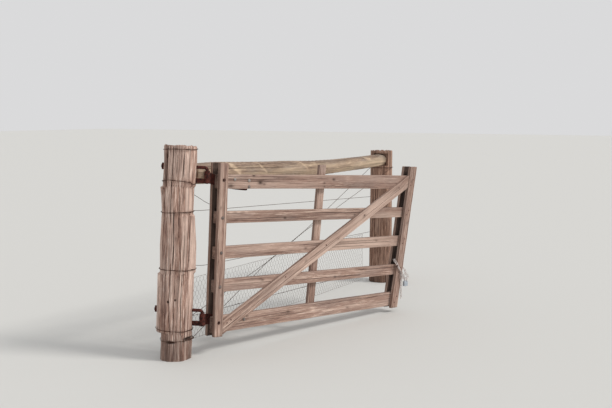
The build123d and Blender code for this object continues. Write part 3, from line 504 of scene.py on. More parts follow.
def split_depth(along, places, checks, seed):
    """Depth of the splits: a V across each one, deepest mid-way and dying out at both ends of its run;
    and the painted shade that fills each split, a little wider than its V.
    """
    depth = np.zeros((len(along), len(places)))
    split_shade = np.zeros_like(depth)
    for number, check in enumerate(checks):
        away = np.abs((places - check["at"] + 0.5) % 1.0 - 0.5) / check["half"]
        low, high = check["run"]
        live = plateau(along, low - 0.001, high + 0.001, check["fade"] + 0.001)
        live = live * (0.72 + 0.28 * rough(along * 14, number * 2.3, seed + 9))
        depth = np.maximum(depth, np.outer(live, clamp(1 - away) ** 0.8) * check["deep"])
        split_shade = np.maximum(split_shade, np.outer(live, clamp(1.15 - away)))
    return depth, split_shade


def even_splits(seed, count, start, girth, halves, deeps, runs, *course):
    """Splits spaced nearly evenly round a hewn piece, each with a random width and depth."""
    rng = np.random.default_rng(seed)
    return [split(girth, start + number / count + rng.uniform(-0.02, 0.02), rng.uniform(*halves),
                  runs[number % len(runs)], rng.uniform(*deeps), *course) for number in range(count)]


def outward_normal(points):
    """Normal at each point of a grid, from its neighbours, facing away from each row's middle."""
    around = np.roll(points, -1, 1) - np.roll(points, 1, 1)
    normal = unit(np.cross(unit(around), unit(np.gradient(points, axis=0))))
    out = np.einsum("ijk,ijk->", normal, points - points.mean(1, keepdims=True))
    return -normal if out < 0 else normal


CAP_SHARES = (0.84, 0.6, 0.3)            # sizes of the rings that close an end
END_GRAIN = np.array([0.9, 0.3, 1.0])    # how much of a side's splits, wear and stain its end shows
END_STAIN = np.array([0, 0, 0.12])


# depth of the broad hollows and of the grain's ridges, how far the end arrises are rubbed down, and how
# uneven the end grain is
SAWN = (0.0014, 0.0005, 0.003, 0.002)
HEWN = (0.0020, 0.0008, 0.004, 0.012)
PEELED = (0.0012, 0.0005, 0.005, 0.003)


def timber(name, node, surface, length, girth, along, columns, checks, body, look, seed, wear, depths,
           corners=(), reshape=None):
    """Wooden piece: surface(along, place) displaced inwards by splits, grain and wear, closed at both ends.

    wear gives the extra depth, the stain with any painted shade, and the rubbing with any painted highlight
    at each point. depths are those of sawn, hewn or peeled wood, corners the places kept sharp, and reshape
    moves the displaced points.
    """
    hollows, ridges, end_wear, end_rough = depths
    places = spread_columns(columns, checks, corners)
    moved = places[None, :] + follow_checks(along, places, checks, corners, seed)
    # columns never pass each other
    least = COLUMN_GAP * np.arange(len(places))
    moved = np.maximum.accumulate(moved - least, axis=1) + least
    points, section = surface(along[:, None] + 0 * moved, moved)
    normal = outward_normal(points)
    depth, split_shade = split_depth(along, places, checks, seed)
    metres, round_it = along[:, None] * length, places[None, :] * girth
    depth = depth + hollows * swell(metres * 5, round_it * 18, seed + 1)
    depth = depth + ridges * swell(metres * 9, round_it * 210, seed + 2)
    near_end = np.minimum(metres, length - metres)
    depth = depth + end_wear * (1 - ease(near_end, 0, 0.006)) ** 2
    # the strip between two splits that each column belongs to
    strip = np.searchsorted(np.sort([check["at"] for check in checks]), places)[None, :]
    extra, stain, rubbed = wear(metres, moved, section, strip)
    points = points - normal * (depth + extra)[..., None]
    if reshape:
        points = reshape(points, metres, moved)
    grain = np.stack([metres + 0 * moved, section[..., 0], section[..., 1]], -1) + seed * 1.37
    wear_and_painted_light = np.stack([split_shade, rubbed, stain], -1)
    # the ends: rings that close in on the heart, hollowed by the same splits
    caps = []
    for end, step in ((0, 1), (-1, -1)):
        heart, grain_heart = points[end].mean(0), grain[end].mean(0)
        inward = unit(points[end + step].mean(0) - heart)
        rings = []
        for share in CAP_SHARES:
            sunk = end_rough * swell(places * 40, share * 9, seed + 3) + 0.006 * split_shade[end] * share
            ring = heart + share * (points[end] - heart) + inward * (sunk * (1 - 0.2 * share))[:, None]
            rings.append((ring, grain_heart + share * (grain[end] - grain_heart),
                          wear_and_painted_light[end] * END_GRAIN + END_STAIN))
        caps.append(rings)

    def closed(values, k):
        """Rows from one heart to the other."""
        first, last = ([ring[k] for ring in rings] for rings in caps)
        return np.concatenate([first[::-1], values, last])

    def flat(values):
        return np.concatenate([values.reshape(-1, 3), values[:1].mean(1), values[-1:].mean(1)])

    make_piece(name, [shell(closed(points, 0))], body, look, node, sharp=55,
               marks={"grain": flat(closed(grain, 1)), "wear_and_painted_light": flat(closed(wear_and_painted_light, 2))})


def zigzag(turn):
    """Even zigzag: 0 at no turn, 1 at a quarter, 0 at a half and -1 at three quarters."""
    return 4 * np.abs((turn - 0.25) % 1.0 - 0.5) - 1


def rounded_section(place, wide, thick, radius):
    """Point on a rectangle with rounded corners, place 0 to 1 round it from the middle of one wide side.

    Two zigzags a quarter apart, cut off at the sides, make the sharp rectangle; what lies in a corner's
    square is then pulled onto its circle.
    """
    quarter = (wide + thick) / 2
    a = np.clip(zigzag(place) * quarter, -wide / 2, wide / 2)
    b = np.clip(zigzag(place + 0.25) * quarter, -thick / 2, thick / 2)
    core_a = np.clip(a, radius - wide / 2, wide / 2 - radius)
    core_b = np.clip(b, radius - thick / 2, thick / 2 - radius)
    pull = radius / np.maximum(np.hypot(a - core_a, b - core_b), radius)
    return core_a + (a - core_a) * pull, core_b + (b - core_b) * pull


def corner_places(wide, thick, radius):
    """Places of a board's corners, and of where each rounding begins and ends."""
    sharp = np.array([wide / 2, wide / 2 + thick, 1.5 * wide + thick, 1.5 * wide + 2 * thick])
    steps = np.array([-1, -0.5, 0, 0.5, 1])[:, None] * radius
    return ((sharp + steps) / (2 * (wide + thick)) % 1.0).ravel()


ARRIS = 0.004
CHECK_DEEP = 0.006


def random_checks(seed, count, wide, thick):
    """Splits of a sawn board: long ones on its faces, most of them from an end inwards."""
    rng = np.random.default_rng(seed)
    girth = 2 * (wide + thick)
    checks = []
    for number in range(count):
        spot = rng.uniform(-0.36, 0.36) * wide
        back = number % 3 == 2
        length = rng.uniform(0.12, 0.5)
        low = rng.choice([0.0, 1 - length, rng.uniform(0.05, 0.95 - length)])
        checks.append(split(
            girth, (spot + back * (wide + thick)) / girth, rng.uniform(0.0012, 0.0024),
            (low - 0.02, low + length), CHECK_DEEP * rng.uniform(0.6, 1.2), 0.004, rng.uniform(2, 5),
            rng.uniform(-0.010, 0.010), 0.06))
    # no two splits closer than the columns they need
    kept = []
    for check in sorted(checks, key=lambda check: check["at"]):
        if not kept or check["at"] - kept[-1]["at"] > 0.008 / girth:
            kept.append(check)
    return kept


def strip_tone(metres, strip, waves, seed):
    """How much paler and how much darker each strip between two splits is than the rest, 0 to 1."""
    tone = rough(metres * waves, strip * 5.3, seed)
    return clamp(tone), clamp(-tone)


def board(name, corners, back, thick, seed, marks=(), count=5, inner=0):
    """Sawn board between its four corners on the leaf: (near low, far low, far high, near high) as (u, w).

    marks are knots, stains and (below 0) bleached spots and painted highlights of its front: metres along the
    board, across it, size, strength. inner is 1 where its front looks into the slot between two stiles, -1
    where its back does; that face is painted with deep shade.
    """
    near_low, far_low, far_high, near_high = (np.array(c, float) for c in corners)
    length = np.linalg.norm((far_low + far_high) / 2 - (near_low + near_high) / 2)
    wide = np.linalg.norm((near_high + far_high) / 2 - (near_low + far_low) / 2)
    if wide > length:
        # its length runs up the board
        length, wide = wide, length
        far_low, near_high = near_high, far_low
    ends = np.array([0.002, 0.004]) / length
    along = np.unique(np.concatenate([np.linspace(0, 1, max(60, int(length / 0.011))), ends, 1 - ends]))

    def surface(share, spot):
        radius = ARRIS * (1 + 0.45 * rough(share * length * 7, np.round(spot * 4) * 3.3, seed + 7))
        a, b = rounded_section(spot, wide, thick, radius)
        q = (a / wide + 0.5)[..., None]
        low = near_low + share[..., None] * (far_low - near_low)
        high = near_high + share[..., None] * (far_high - near_high)
        flat = low * (1 - q) + high * q
        return leaf(flat[..., 0], back - thick / 2 - b, flat[..., 1]), np.stack([a, b], -1)

    def wear(metres, spot, section, strip):
        """Knots, dark sides and dirty ends; painted shade on a face in a slot; pale marks, some of them
        painted highlights; rubbed and chipped arrises; strips paler or darker by turns.
        """
        across, through = section[..., 0], section[..., 1]
        extra, stain, bleach_and_highlight = (np.zeros_like(metres + spot) for _ in range(3))
        front = ease(through, thick / 2 - 0.006, thick / 2 - 0.001)
        for where, middle, size, strength in marks:
            away = np.hypot((metres - where) / 1.6, across - middle) / size
            knot = np.exp(-away ** 2 * 1.6) * front
            stain += max(strength, 0) * knot
            bleach_and_highlight += max(-strength, 0) * knot
            extra += 0.0015 * knot
        stain += 0.22 * ease(np.abs(across), wide / 2 - 0.004, wide / 2 - 0.001)
        if inner:
            # a face that looks into the slot is painted nearly black: painted shade of the narrow slot
            stain += 0.92 * ease(inner * through, thick / 2 - 0.003, thick / 2 - 0.001)
        rubbed = (ease(np.abs(across), wide / 2 - 0.006, wide / 2)
                  * ease(np.abs(through), thick / 2 - 0.006, thick / 2))
        chips = clamp(rough(metres * 11, np.round(spot * 4) * 2.1, seed + 4) - 0.55)
        extra += 0.004 * chips * rubbed
        dirt = 0.25 * (1 - ease(metres, 0, 0.03)) + 0.25 * ease(metres, length - 0.03, length)
        stain = stain + dirt * swell(spot * 60, metres * 30, seed + 6)
        paler, darker = strip_tone(metres, strip, 1.7, seed + 14)
        return extra, clamp(stain + 0.22 * darker), np.clip(rubbed + bleach_and_highlight + 0.75 * paler, 0, 1.6)

    timber(f"{name}_board", name, surface, length, 2 * (wide + thick), along, 44,
           random_checks(seed, count, wide, thick), "leaf", BOARD_WOOD, seed, wear, SAWN,
           corner_places(wide, thick, ARRIS))


# Boards of the leaf

def latch_u(w):
    """Middle of the leaning latch stiles at height w."""
    return LATCH_TOP_U - (LATCH_TOP - w) * math.tan(LATCH_LEAN)


def middle_u(w):
    """Middle of the leaning middle stile at height w."""
    return MIDDLE_TOP_U - (MIDDLE_TOP - w) * math.tan(MIDDLE_LEAN)


def hinge_u(w):
    """Middle of the hinge stiles, the same at any height."""
    return HINGE_EDGE + HINGE_WIDTH / 2


# width, middle, bottom and top of the stiles
HINGE_LINE = (HINGE_WIDTH, hinge_u, STILE_BOTTOM, STILE_TOP)
LATCH_LINE = (LATCH_WIDTH, latch_u, LATCH_BOTTOM, LATCH_TOP)
MIDDLE_LINE = (MIDDLE_WIDTH, middle_u, MIDDLE_BOTTOM, MIDDLE_TOP)


def stile_corners(width, middle, bottom, top, shift):
    """Corners of a stile from its middle line, moved along the leaf by shift."""
    half = width / 2
    low, high = middle(bottom) + shift, middle(top) + shift
    return [(low - half, bottom), (low + half, bottom), (high + half, top), (high - half, top)]


def rail_end(bottom, width):
    """Where a rail stops under the latch stiles."""
    return latch_u(bottom + width / 2) + LATCH_WIDTH / 2 - RAIL_INSET


RAIL_MARKS = {
    "rail_1": [(1.052, -0.010, 0.010, 0.9), (1.054, -0.038, 0.008, 0.8), (1.157, 0.020, 0.013, 0.9),
               (0.392, -0.008, 0.017, 1.1), (0.431, -0.020, 0.012, 0.7), (0.327, 0.047, 0.010, 1.1),
               (0.118, -0.032, 0.020, 0.8)],
    # rail_2's three pale marks along its top edge (below 0) are a painted highlight on its lit top
    "rail_2": [(0.649, -0.018, 0.010, 0.8), (1.42, -0.012, 0.013, 0.7), (1.56, 0.01, 0.02, 0.5),
               (0.13, 0.040, 0.016, -1.3), (0.20, 0.041, 0.015, -1.3), (0.27, 0.041, 0.013, -1.0)],
    "rail_3": [(0.88, -0.01, 0.012, 0.7), (1.7, 0.014, 0.010, 0.6), (1.50, 0.0, 0.30, -0.8)],
    "rail_4": [(0.45, 0.015, 0.010, 0.6), (1.22, -0.016, 0.012, 0.7)],
    "rail_5": [(0.72, 0.02, 0.014, 0.7), (1.38, -0.02, 0.011, 0.6), (0.152, 0.0, 0.010, 1.2),
               (0.312, 0.032, 0.009, 0.9)],
}
for number, (name, (bottom, width, far_bottom, far_width)) in enumerate(RAILS.items()):
    end = rail_end(far_bottom, far_width)
    board(name, [(RAIL_START, bottom), (end, far_bottom), (end, far_bottom + far_width),
                 (RAIL_START, bottom + width)], RAIL_BACK, RAIL_THICK, 11 + number, RAIL_MARKS[name], count=7)

for name, line, shift, seed, marks in (
        ("hinge_stile_front", HINGE_LINE, 0, 21, [(0.3, 0.01, 0.01, 0.5), (0.92, -0.018, 0.008, 0.7)]),
        ("hinge_stile_back", HINGE_LINE, BACK_SET, 22, ()),
        ("latch_stile_front", LATCH_LINE, 0, 23, [(0.74, 0.012, 0.012, 0.6), (1.1, -0.01, 0.01, 0.6)]),
        ("latch_stile_back", LATCH_LINE, LATCH_BACK_SET, 24, ()),
        ("middle_stile", MIDDLE_LINE, 0, 25, ())):
    front = name.endswith("front")
    back, thick = (RAIL_FRONT, FRONT_THICK) if front else (STILE_BACK, BACK_THICK)
    # the stiles' faces that look into the slot between front and back stile get painted shade
    inner = 0 if line is MIDDLE_LINE else -1 if front else 1
    board(name, stile_corners(*line, shift), back, thick, seed, marks, 6 if front else 5, inner)

brace_start = HINGE_EDGE + HINGE_WIDTH
brace_run = latch_u(BRACE_HEAD_W) - LATCH_WIDTH / 2 - brace_start
brace_slope = (BRACE_HEAD_W - BRACE_FOOT_W) / brace_run
brace_half = BRACE_WIDTH / 2 * math.hypot(1, brace_slope)


def brace_end(offset):
    """Where a line of the brace, offset up from its middle, meets the latch stile's inner edge."""
    lean = math.tan(LATCH_LEAN)
    start_w = BRACE_FOOT_W + offset
    edge = latch_u(start_w) - LATCH_WIDTH / 2
    u = (edge - lean * brace_slope * brace_start) / (1 - lean * brace_slope)
    return u, start_w + brace_slope * (u - brace_start)


BRACE_MARKS = [(1.63, 0.0, 0.022, 0.45), (0.9, 0.01, 0.012, 0.6), (1.3, -0.02, 0.01, 0.5),
               (1.0, 0.0, 0.40, -0.6), (1.75, 0.0, 0.25, -0.5)]
board("brace", [(brace_start, BRACE_FOOT_W - brace_half), brace_end(-brace_half), brace_end(brace_half),
                (brace_start, BRACE_FOOT_W + brace_half)], RAIL_FRONT, BRACE_THICK, 26, BRACE_MARKS, count=8)

# Hewn posts

def hewn_corner(number, width, depth, shift, sides, squareness):
    """Corner of a hewn section: a squarish oval with slightly uneven flats."""
    turn = TURN * (number % sides + 0.5) / sides
    reach = np.abs(2 * np.cos(turn) / width) ** squareness + np.abs(2 * np.sin(turn) / depth) ** squareness
    radius = reach ** (-1 / squareness) * (1 + 0.012 * np.sin(3 * turn + 0.7))
    return shift + radius * np.cos(turn), radius * np.sin(turn)


def hewn_section(spot, width, depth, shift, sides, squareness):
    """Point on the straight flats between two corners of a hewn section, place 0 to 1 round it."""
    step = (spot % 1.0) * sides
    number = np.floor(step).astype(int)
    share = step - number
    x0, y0 = hewn_corner(number, width, depth, shift, sides, squareness)
    x1, y1 = hewn_corner(number + 1, width, depth, shift, sides, squareness)
    return x0 + share * (x1 - x0), y0 + share * (y1 - y0)


def flat_of(x, y):
    """The hinge post's section cut back to the flat that the closed leaf passes."""
    turn = -math.pi / 2 - VIEW_BEARING
    over = np.maximum(0, x * math.cos(turn) + y * math.sin(turn) - POST_FLAT)
    return x - over * math.cos(turn), y - over * math.sin(turn)


VIEW_TURN = VIEW_BEARING - LEAF_BEARING
POST_X = math.cos(VIEW_TURN) * U_DIR + math.sin(VIEW_TURN) * V_DIR
POST_Y = -math.sin(VIEW_TURN) * U_DIR + math.cos(VIEW_TURN) * V_DIR
WIDTH, DEPTH, SHIFT = 1, 2, 3    # columns of POST_STATIONS


def station_at(w, column):
    """One measure of the hinge post's section at height w, straight between its stations."""
    return np.interp(w, POST_STATIONS[:, 0], POST_STATIONS[:, column])


def post_section(w, spot):
    """Section of the hinge post at height w: x to the right as seen in the photograph's view, y away."""
    width, depth, shift = (station_at(w, column) for column in (WIDTH, DEPTH, SHIFT))
    return flat_of(*hewn_section(spot, width, depth, shift, POST_SIDES, POST_SQUARENESS))


def post_point(w, x, y):
    """Point of the hinge post from its section."""
    return w[..., None] * W_DIR + x[..., None] * POST_X + y[..., None] * POST_Y


def post_corners(w):
    """Corners of the hinge post's section at height w, as x and y."""
    return post_section(np.full(POST_SIDES, w), np.arange(POST_SIDES) / POST_SIDES)


def nearest_spot(section, height, low, high, count, miss):
    """Of some places round a section at one height, the one whose point misses by least."""
    spots = np.linspace(low, high, count)
    return spots[np.argmin(miss(*section(height + 0 * spots, spots)))]


def place_at(x_wanted, side, w):
    """Place round the hinge post's section nearest to an x at height w, on its near (-1) or far (1) side."""
    return nearest_spot(post_section, w, 0, 1, 2001,
                        lambda x, y: np.abs(x - x_wanted) + 10 * (np.sign(y) != side))


POST_GIRTH = 0.78
POST_SPLITS = [
    # x across the photograph's view, side, low and high end up the post, half width, depth
    (-0.117, -1, 0.20, 0.63, 0.0042, 0.022),
    (-0.092, -1, 0.98, 1.24, 0.0016, 0.010),
    (-0.080, -1, 1.16, 1.56, 0.0042, 0.020),
    (-0.078, -1, -0.05, 0.36, 0.0018, 0.009),
    (-0.062, -1, 0.42, 0.98, 0.0019, 0.010),
    (-0.047, -1, 0.92, 1.56, 0.0038, 0.017),
    (-0.036, -1, 0.16, 0.72, 0.0024, 0.012),
    (-0.019, -1, 0.60, 1.08, 0.0038, 0.018),
    (-0.010, -1, 1.24, 1.46, 0.0026, 0.012),
    (-0.004, -1, -0.05, 0.44, 0.0018, 0.009),
    (0.012, -1, 0.88, 1.22, 0.0026, 0.012),
    (0.026, -1, 0.30, 0.86, 0.0018, 0.009),
    (0.035, -1, 1.22, 1.47, 0.0034, 0.016),
    (0.046, -1, -0.05, 0.62, 0.0018, 0.009),
    (0.062, -1, 0.50, 0.92, 0.0020, 0.010),
    (0.074, -1, 1.22, 1.56, 0.0020, 0.010),
    (0.080, -1, -0.05, 0.40, 0.0018, 0.009),
    (0.092, -1, 0.62, 1.07, 0.0052, 0.026),
    (0.080, 1, 0.30, 1.05, 0.0036, 0.018),
    (0.046, 1, -0.05, 0.82, 0.0034, 0.018),
    (0.015, 1, 0.50, 1.56, 0.0036, 0.018),
    (-0.018, 1, 0.10, 0.96, 0.0040, 0.020),
    (-0.050, 1, 0.70, 1.56, 0.0034, 0.016),
    (-0.082, 1, -0.05, 0.90, 0.0034, 0.016),
    (-0.104, 1, 0.80, 1.40, 0.0030, 0.014),
]
POST_LOW = -0.012
POST_RUN = POST_HEIGHT - POST_LOW
POST_CHECKS = [split(
    POST_GIRTH, place_at(x, side, (max(low, 0) + min(high, POST_HEIGHT)) / 2), half,
    ((low - POST_LOW) / POST_RUN, (high - POST_LOW) / POST_RUN), deep, 0.005, 4.5,
    (0.006, -0.004, 0.002)[number % 3], 0.06,
) for number, (x, side, low, high, half, deep) in enumerate(POST_SPLITS)]
post_rows = np.unique(np.round(np.concatenate([
    np.linspace(POST_LOW, POST_HEIGHT, 310), POST_STATIONS[1:-1, 0], POST_STATIONS[1:-1, 0] + 0.003,
    POST_HEIGHT - np.array([0.002, 0.005])]), 5))


def post_surface(share, spot):
    """Skin of the hinge post, its grain running straight past the steps that its outer edges follow.

    Inside the faces each point aims for where it would lie in a section of the mean width and shift over
    0.2 m up and down, and goes half of the way round to it, twice.
    """
    w = POST_LOW + share * POST_RUN
    nearby = w[..., None] + np.linspace(-0.2, 0.2, 11)
    width, shift = (station_at(w, k) for k in (WIDTH, SHIFT))
    even_width, even_shift = (station_at(nearby, k).mean(-1) for k in (WIDTH, SHIFT))
    step, least_slope = 0.2 / POST_SIDES, 0.2
    for _ in range(2):
        x, _ = post_section(w, spot)
        aim = even_shift + (x - shift) * even_width / width
        inner = 1 - ease(np.abs(x - shift) / width, 0.28, 0.46)
        slope = (post_section(w, spot + step)[0] - post_section(w, spot - step)[0]) / (2 * step)
        slope = np.where(slope < 0, np.minimum(slope, -least_slope), np.maximum(slope, least_slope))
        spot = spot + 0.5 * (aim - x) * inner / slope
    x, y = post_section(w, spot)
    return post_point(w, x, y), np.stack([x, y], -1)


# strips and patches that stand out on the hinge post: x, half width, low, high, paler (+) or darker (-)
POST_PATCHES = [
    (0.075, 0.020, 1.03, 1.22, 0.9), (0.058, 0.018, 0.64, 1.02, 0.9), (-0.132, 0.012, 0.20, 0.60, 0.9),
    (-0.106, 0.019, 1.20, 1.46, -0.55), (0.112, 0.010, 0.66, 1.04, 0.5), (0.0, 0.13, 1.466, 1.49, 0.7),
    (0.012, 0.084, 1.245, 1.462, 0.45),
    (-0.03, 0.012, 0.70, 1.15, 0.5), (0.02, 0.012, 0.24, 0.60, 0.5),
]
# nail holes, and dark sunk pockets low on its near side: x, height, half width, half height, depth
POST_HOLES = [(-0.044, 0.413, 0.008, 0.008, 0.010), (0.006, 0.427, 0.007, 0.007, 0.010),
              (-0.018, 0.129, 0.034, 0.009, 0.018), (0.112, 0.150, 0.034, 0.012, 0.014)]
CRESCENT_W = 1.216


def hewn_arris(spot):
    """0 on a hewn post's flats, 1 at their corners."""
    return ease(np.abs(spot % 1.0 * POST_SIDES % 1.0 - 0.5) * 2, 0.75, 1.0)


def ragged(spot, waves, fine_waves, seed):
    """How far a weathered top is eaten down round the section, 0 to 1."""
    return swell(spot * waves, 0, seed) * (0.6 + 0.4 * rough(spot * fine_waves, 1, seed + 1))


def post_wear(metres, spot, section, strip):
    """Hollows along the grain, hewn corners eased, rot at the foot, and a row of small dark crescents under
    the second band.
    """
    w, x = metres + POST_LOW, section[..., 0]
    near = section[..., 1] < 0
    ridges = rough(w * 2.2, spot * POST_GIRTH * 95, 71)
    extra = 0.0030 * hewn_arris(spot) + 0.0022 * clamp(ridges)
    extra = extra + 0.0014 * clamp(rough(w * 3.5, spot * POST_GIRTH * 170, 72))
    extra = extra + 0.0035 * swell(w * 1.6, spot * 14, 73)
    foot = 1 - ease(w, 0.10, 0.26)
    extra = extra + foot * 0.006 * swell(w * 14, spot * 30, 74)
    stain = 0.55 * foot * (0.6 + 0.4 * rough(w * 9, spot * 16, 75)) + 0.35 * clamp(ridges - 0.35)
    # a row of small dark crescents just under the second band on its near side
    dark_crescents = np.exp(-((w - CRESCENT_W) / 0.005) ** 2) * near * clamp(np.sin(x * 370))
    stain = stain + 0.75 * dark_crescents * ease(0.062 - np.abs(x + 0.002), 0.0, 0.02)
    for middle, height, wide, high, deep in POST_HOLES:
        hole = np.exp(-(((x - middle) / wide) ** 2 + ((w - height) / high) ** 2) ** 1.5) * near
        stain, extra = stain + hole, extra + deep * hole
    paler, darker = strip_tone(w, strip, 1.5, 77)
    pale, stain = 0.9 * paler, stain + 0.30 * darker
    for middle, half, low, high, strength in POST_PATCHES:
        here = near * ease(half - np.abs(x - middle), -0.004, 0.004) * plateau(w, low, high, 0.03)
        here = here * (0.7 + 0.3 * rough(w * 12, spot * 60, 79))
        pale, stain = pale + max(strength, 0) * here, stain + max(-strength, 0) * here
    return extra, clamp(stain), np.clip(pale, 0, 1.8)


def post_ends(points, metres, spot):
    """Top weathered into ridges between the splits, foot cut level with the lowest ground."""
    eaten = 0.020 * ragged(spot, 26, 70, 77) * ease(metres + POST_LOW, POST_HEIGHT - 0.09, POST_HEIGHT)
    points = points - W_DIR * eaten[..., None]
    points[..., 2] = np.maximum(points[..., 2], 0)
    return points


timber("hinge_post_hewn", "hinge_post", post_surface, POST_RUN, POST_GIRTH, (post_rows - POST_LOW) / POST_RUN,
       112, POST_CHECKS, "fence", POST_WOOD, 31, post_wear, HEWN, reshape=post_ends)

# far post, with the notch for the log

FAR_GIRTH = 0.76
NOTCH_FLOOR, NOTCH_TOP = STAY_SEAT - SEAT, STAY_END[1] + STAY_FAR[0] / 2 + 0.002
NOTCH_X, NOTCH_Y = STAY_TIP + SEAT, STAY_BACK + SEAT


def far_section(z, spot):
    """Section of the far post at height z."""
    less = FAR_TAPER * z / FAR_HEIGHT
    return hewn_section(spot, FAR_WIDTH - less, FAR_DEPTH - less, 0.0, POST_SIDES, FAR_SQUARENESS)


FAR_CHECKS = even_splits(5, 13, 0.04, FAR_GIRTH, (0.0024, 0.0042), (0.010, 0.020),
                         ((-0.02, 0.72), (0.30, 1.02), (0.12, 0.85)), 0.005, 4.0, 0.006, 0.12)
# where the notch's back and end walls meet the post's skin
BACK_SPOT = nearest_spot(far_section, NOTCH_FLOOR, 0.2, 0.8, 4001,
                         lambda x, y: np.abs(y - NOTCH_Y) + 10 * (x >= 0))
END_SPOT = nearest_spot(far_section, NOTCH_FLOOR, 0.5, 1.0, 4001, lambda x, y: np.abs(x + SPAN - NOTCH_X))
HAIR = 1e-5
far_rows = np.sort(np.concatenate([
    np.linspace(0, FAR_HEIGHT, 250), [NOTCH_FLOOR, NOTCH_FLOOR + HAIR, NOTCH_TOP - HAIR, NOTCH_TOP]]))


def far_surface(share, spot):
    """Skin of the far post: its hewn section at each height, without the notch."""
    x, y = far_section(share * FAR_HEIGHT, spot)
    return np.stack([SPAN + x, y, share * FAR_HEIGHT], -1), np.stack([x, y], -1)


def far_wear(metres, spot, section, strip):
    """Deep hollows along the grain, rot pockets near the top, and the right side painted paler: painted light
    where the sun falls.
    """
    ridges = rough(metres * 2.0, spot * FAR_GIRTH * 90, 81)
    extra = 0.003 * hewn_arris(spot) + 0.0028 * clamp(ridges) + 0.004 * swell(metres * 1.5, spot * 15, 82)
    rot = clamp(rough(metres * 7, spot * FAR_GIRTH * 30, 83) - 0.25) * ease(metres, 1.10, 1.30)
    foot = 1 - ease(metres, 0.04, 0.2)
    stain = 0.9 * rot + 0.5 * foot + 0.35 * clamp(ridges - 0.3)
    # painted light: the right-hand side, the side the sun lights, is painted paler
    rubbed = ease(section[..., 0] - section[..., 1], 0.09, 0.15)
    rubbed = rubbed * (0.6 + 0.4 * rough(metres * 4, spot * 40, 84))
    paler, darker = strip_tone(metres, strip, 1.6, 87)
    return extra + 0.010 * rot, clamp(stain + 0.3 * darker), clamp(rubbed + 0.7 * paler)


def far_ends(points, metres, spot):
    """Notch walls: inside its height the skin is pushed to the end wall, keeping its y; top left ragged."""
    cut = (metres > NOTCH_FLOOR + HAIR / 2) & (metres < NOTCH_TOP - HAIR / 2)
    cut = cut & (spot % 1.0 > BACK_SPOT) & (spot % 1.0 < END_SPOT)
    points[..., 0] = np.where(cut, np.maximum(points[..., 0], NOTCH_X), points[..., 0])
    points[..., 1] = np.where(cut, np.minimum(points[..., 1], NOTCH_Y), points[..., 1])
    points[..., 2] -= 0.022 * ragged(spot, 22, 60, 85) * ease(metres, FAR_HEIGHT - 0.025, FAR_HEIGHT)
    points[..., 2] = np.maximum(points[..., 2], 0)
    return points


timber("far_post_hewn", "far_post", far_surface, FAR_HEIGHT, FAR_GIRTH, far_rows / FAR_HEIGHT, 130,
       FAR_CHECKS, "fence", FAR_WOOD, 33, far_wear, HEWN,
       corners=(BACK_SPOT, BACK_SPOT + 3e-4, END_SPOT), reshape=far_ends)

# Stay rail: a hewn log from its shoulder beside one post to a squared end in the other's notch

SHOULDER_W = STAY_START[1] + STAY_NEAR[0] / 2
STAY_SHOULDER = (post_point(np.full(POST_SIDES, SHOULDER_W), *post_corners(SHOULDER_W))[:, 0].max()
                 + BAND_GAP + 2 * WIRE_R + SEAT)
STAY_LENGTH = STAY_TIP - STAY_SHOULDER
LOG_GIRTH = 0.44


def log_middle(share):
    """Height of the log's middle: a shallow parabola under the straight line."""
    return STAY_START[1] + share * (STAY_END[1] - STAY_START[1]) - STAY_SAG * 4 * share * (1 - share)


def log_surface(share, spot):
    """Log's skin: straight between its seven stations."""
    stations = np.linspace(0, 1, 7)
    z = np.interp(share, stations, log_middle(stations))
    y = STAY_START[0] + share * (STAY_END[0] - STAY_START[0])
    high, wide = (near + share * (far - near) for near, far in zip(STAY_NEAR, STAY_FAR))
    a, b = hewn_section(spot, wide, high, 0.0, STAY_SIDES, STAY_SQUARENESS)
    return np.stack([STAY_SHOULDER + share * STAY_LENGTH, y + a, z + b], -1), np.stack([a, b], -1)


# bright strokes where the adze bit deepest: X and height of both ends, half width, strength
LOG_STROKES = [(0.59, 1.330, 0.69, 1.272, 0.026, 1.3), (0.93, 1.340, 1.05, 1.252, 0.013, 0.8),
               (1.56, 1.310, 1.67, 1.246, 0.013, 0.7), (2.75, 1.292, 2.84, 1.270, 0.022, 0.9)]


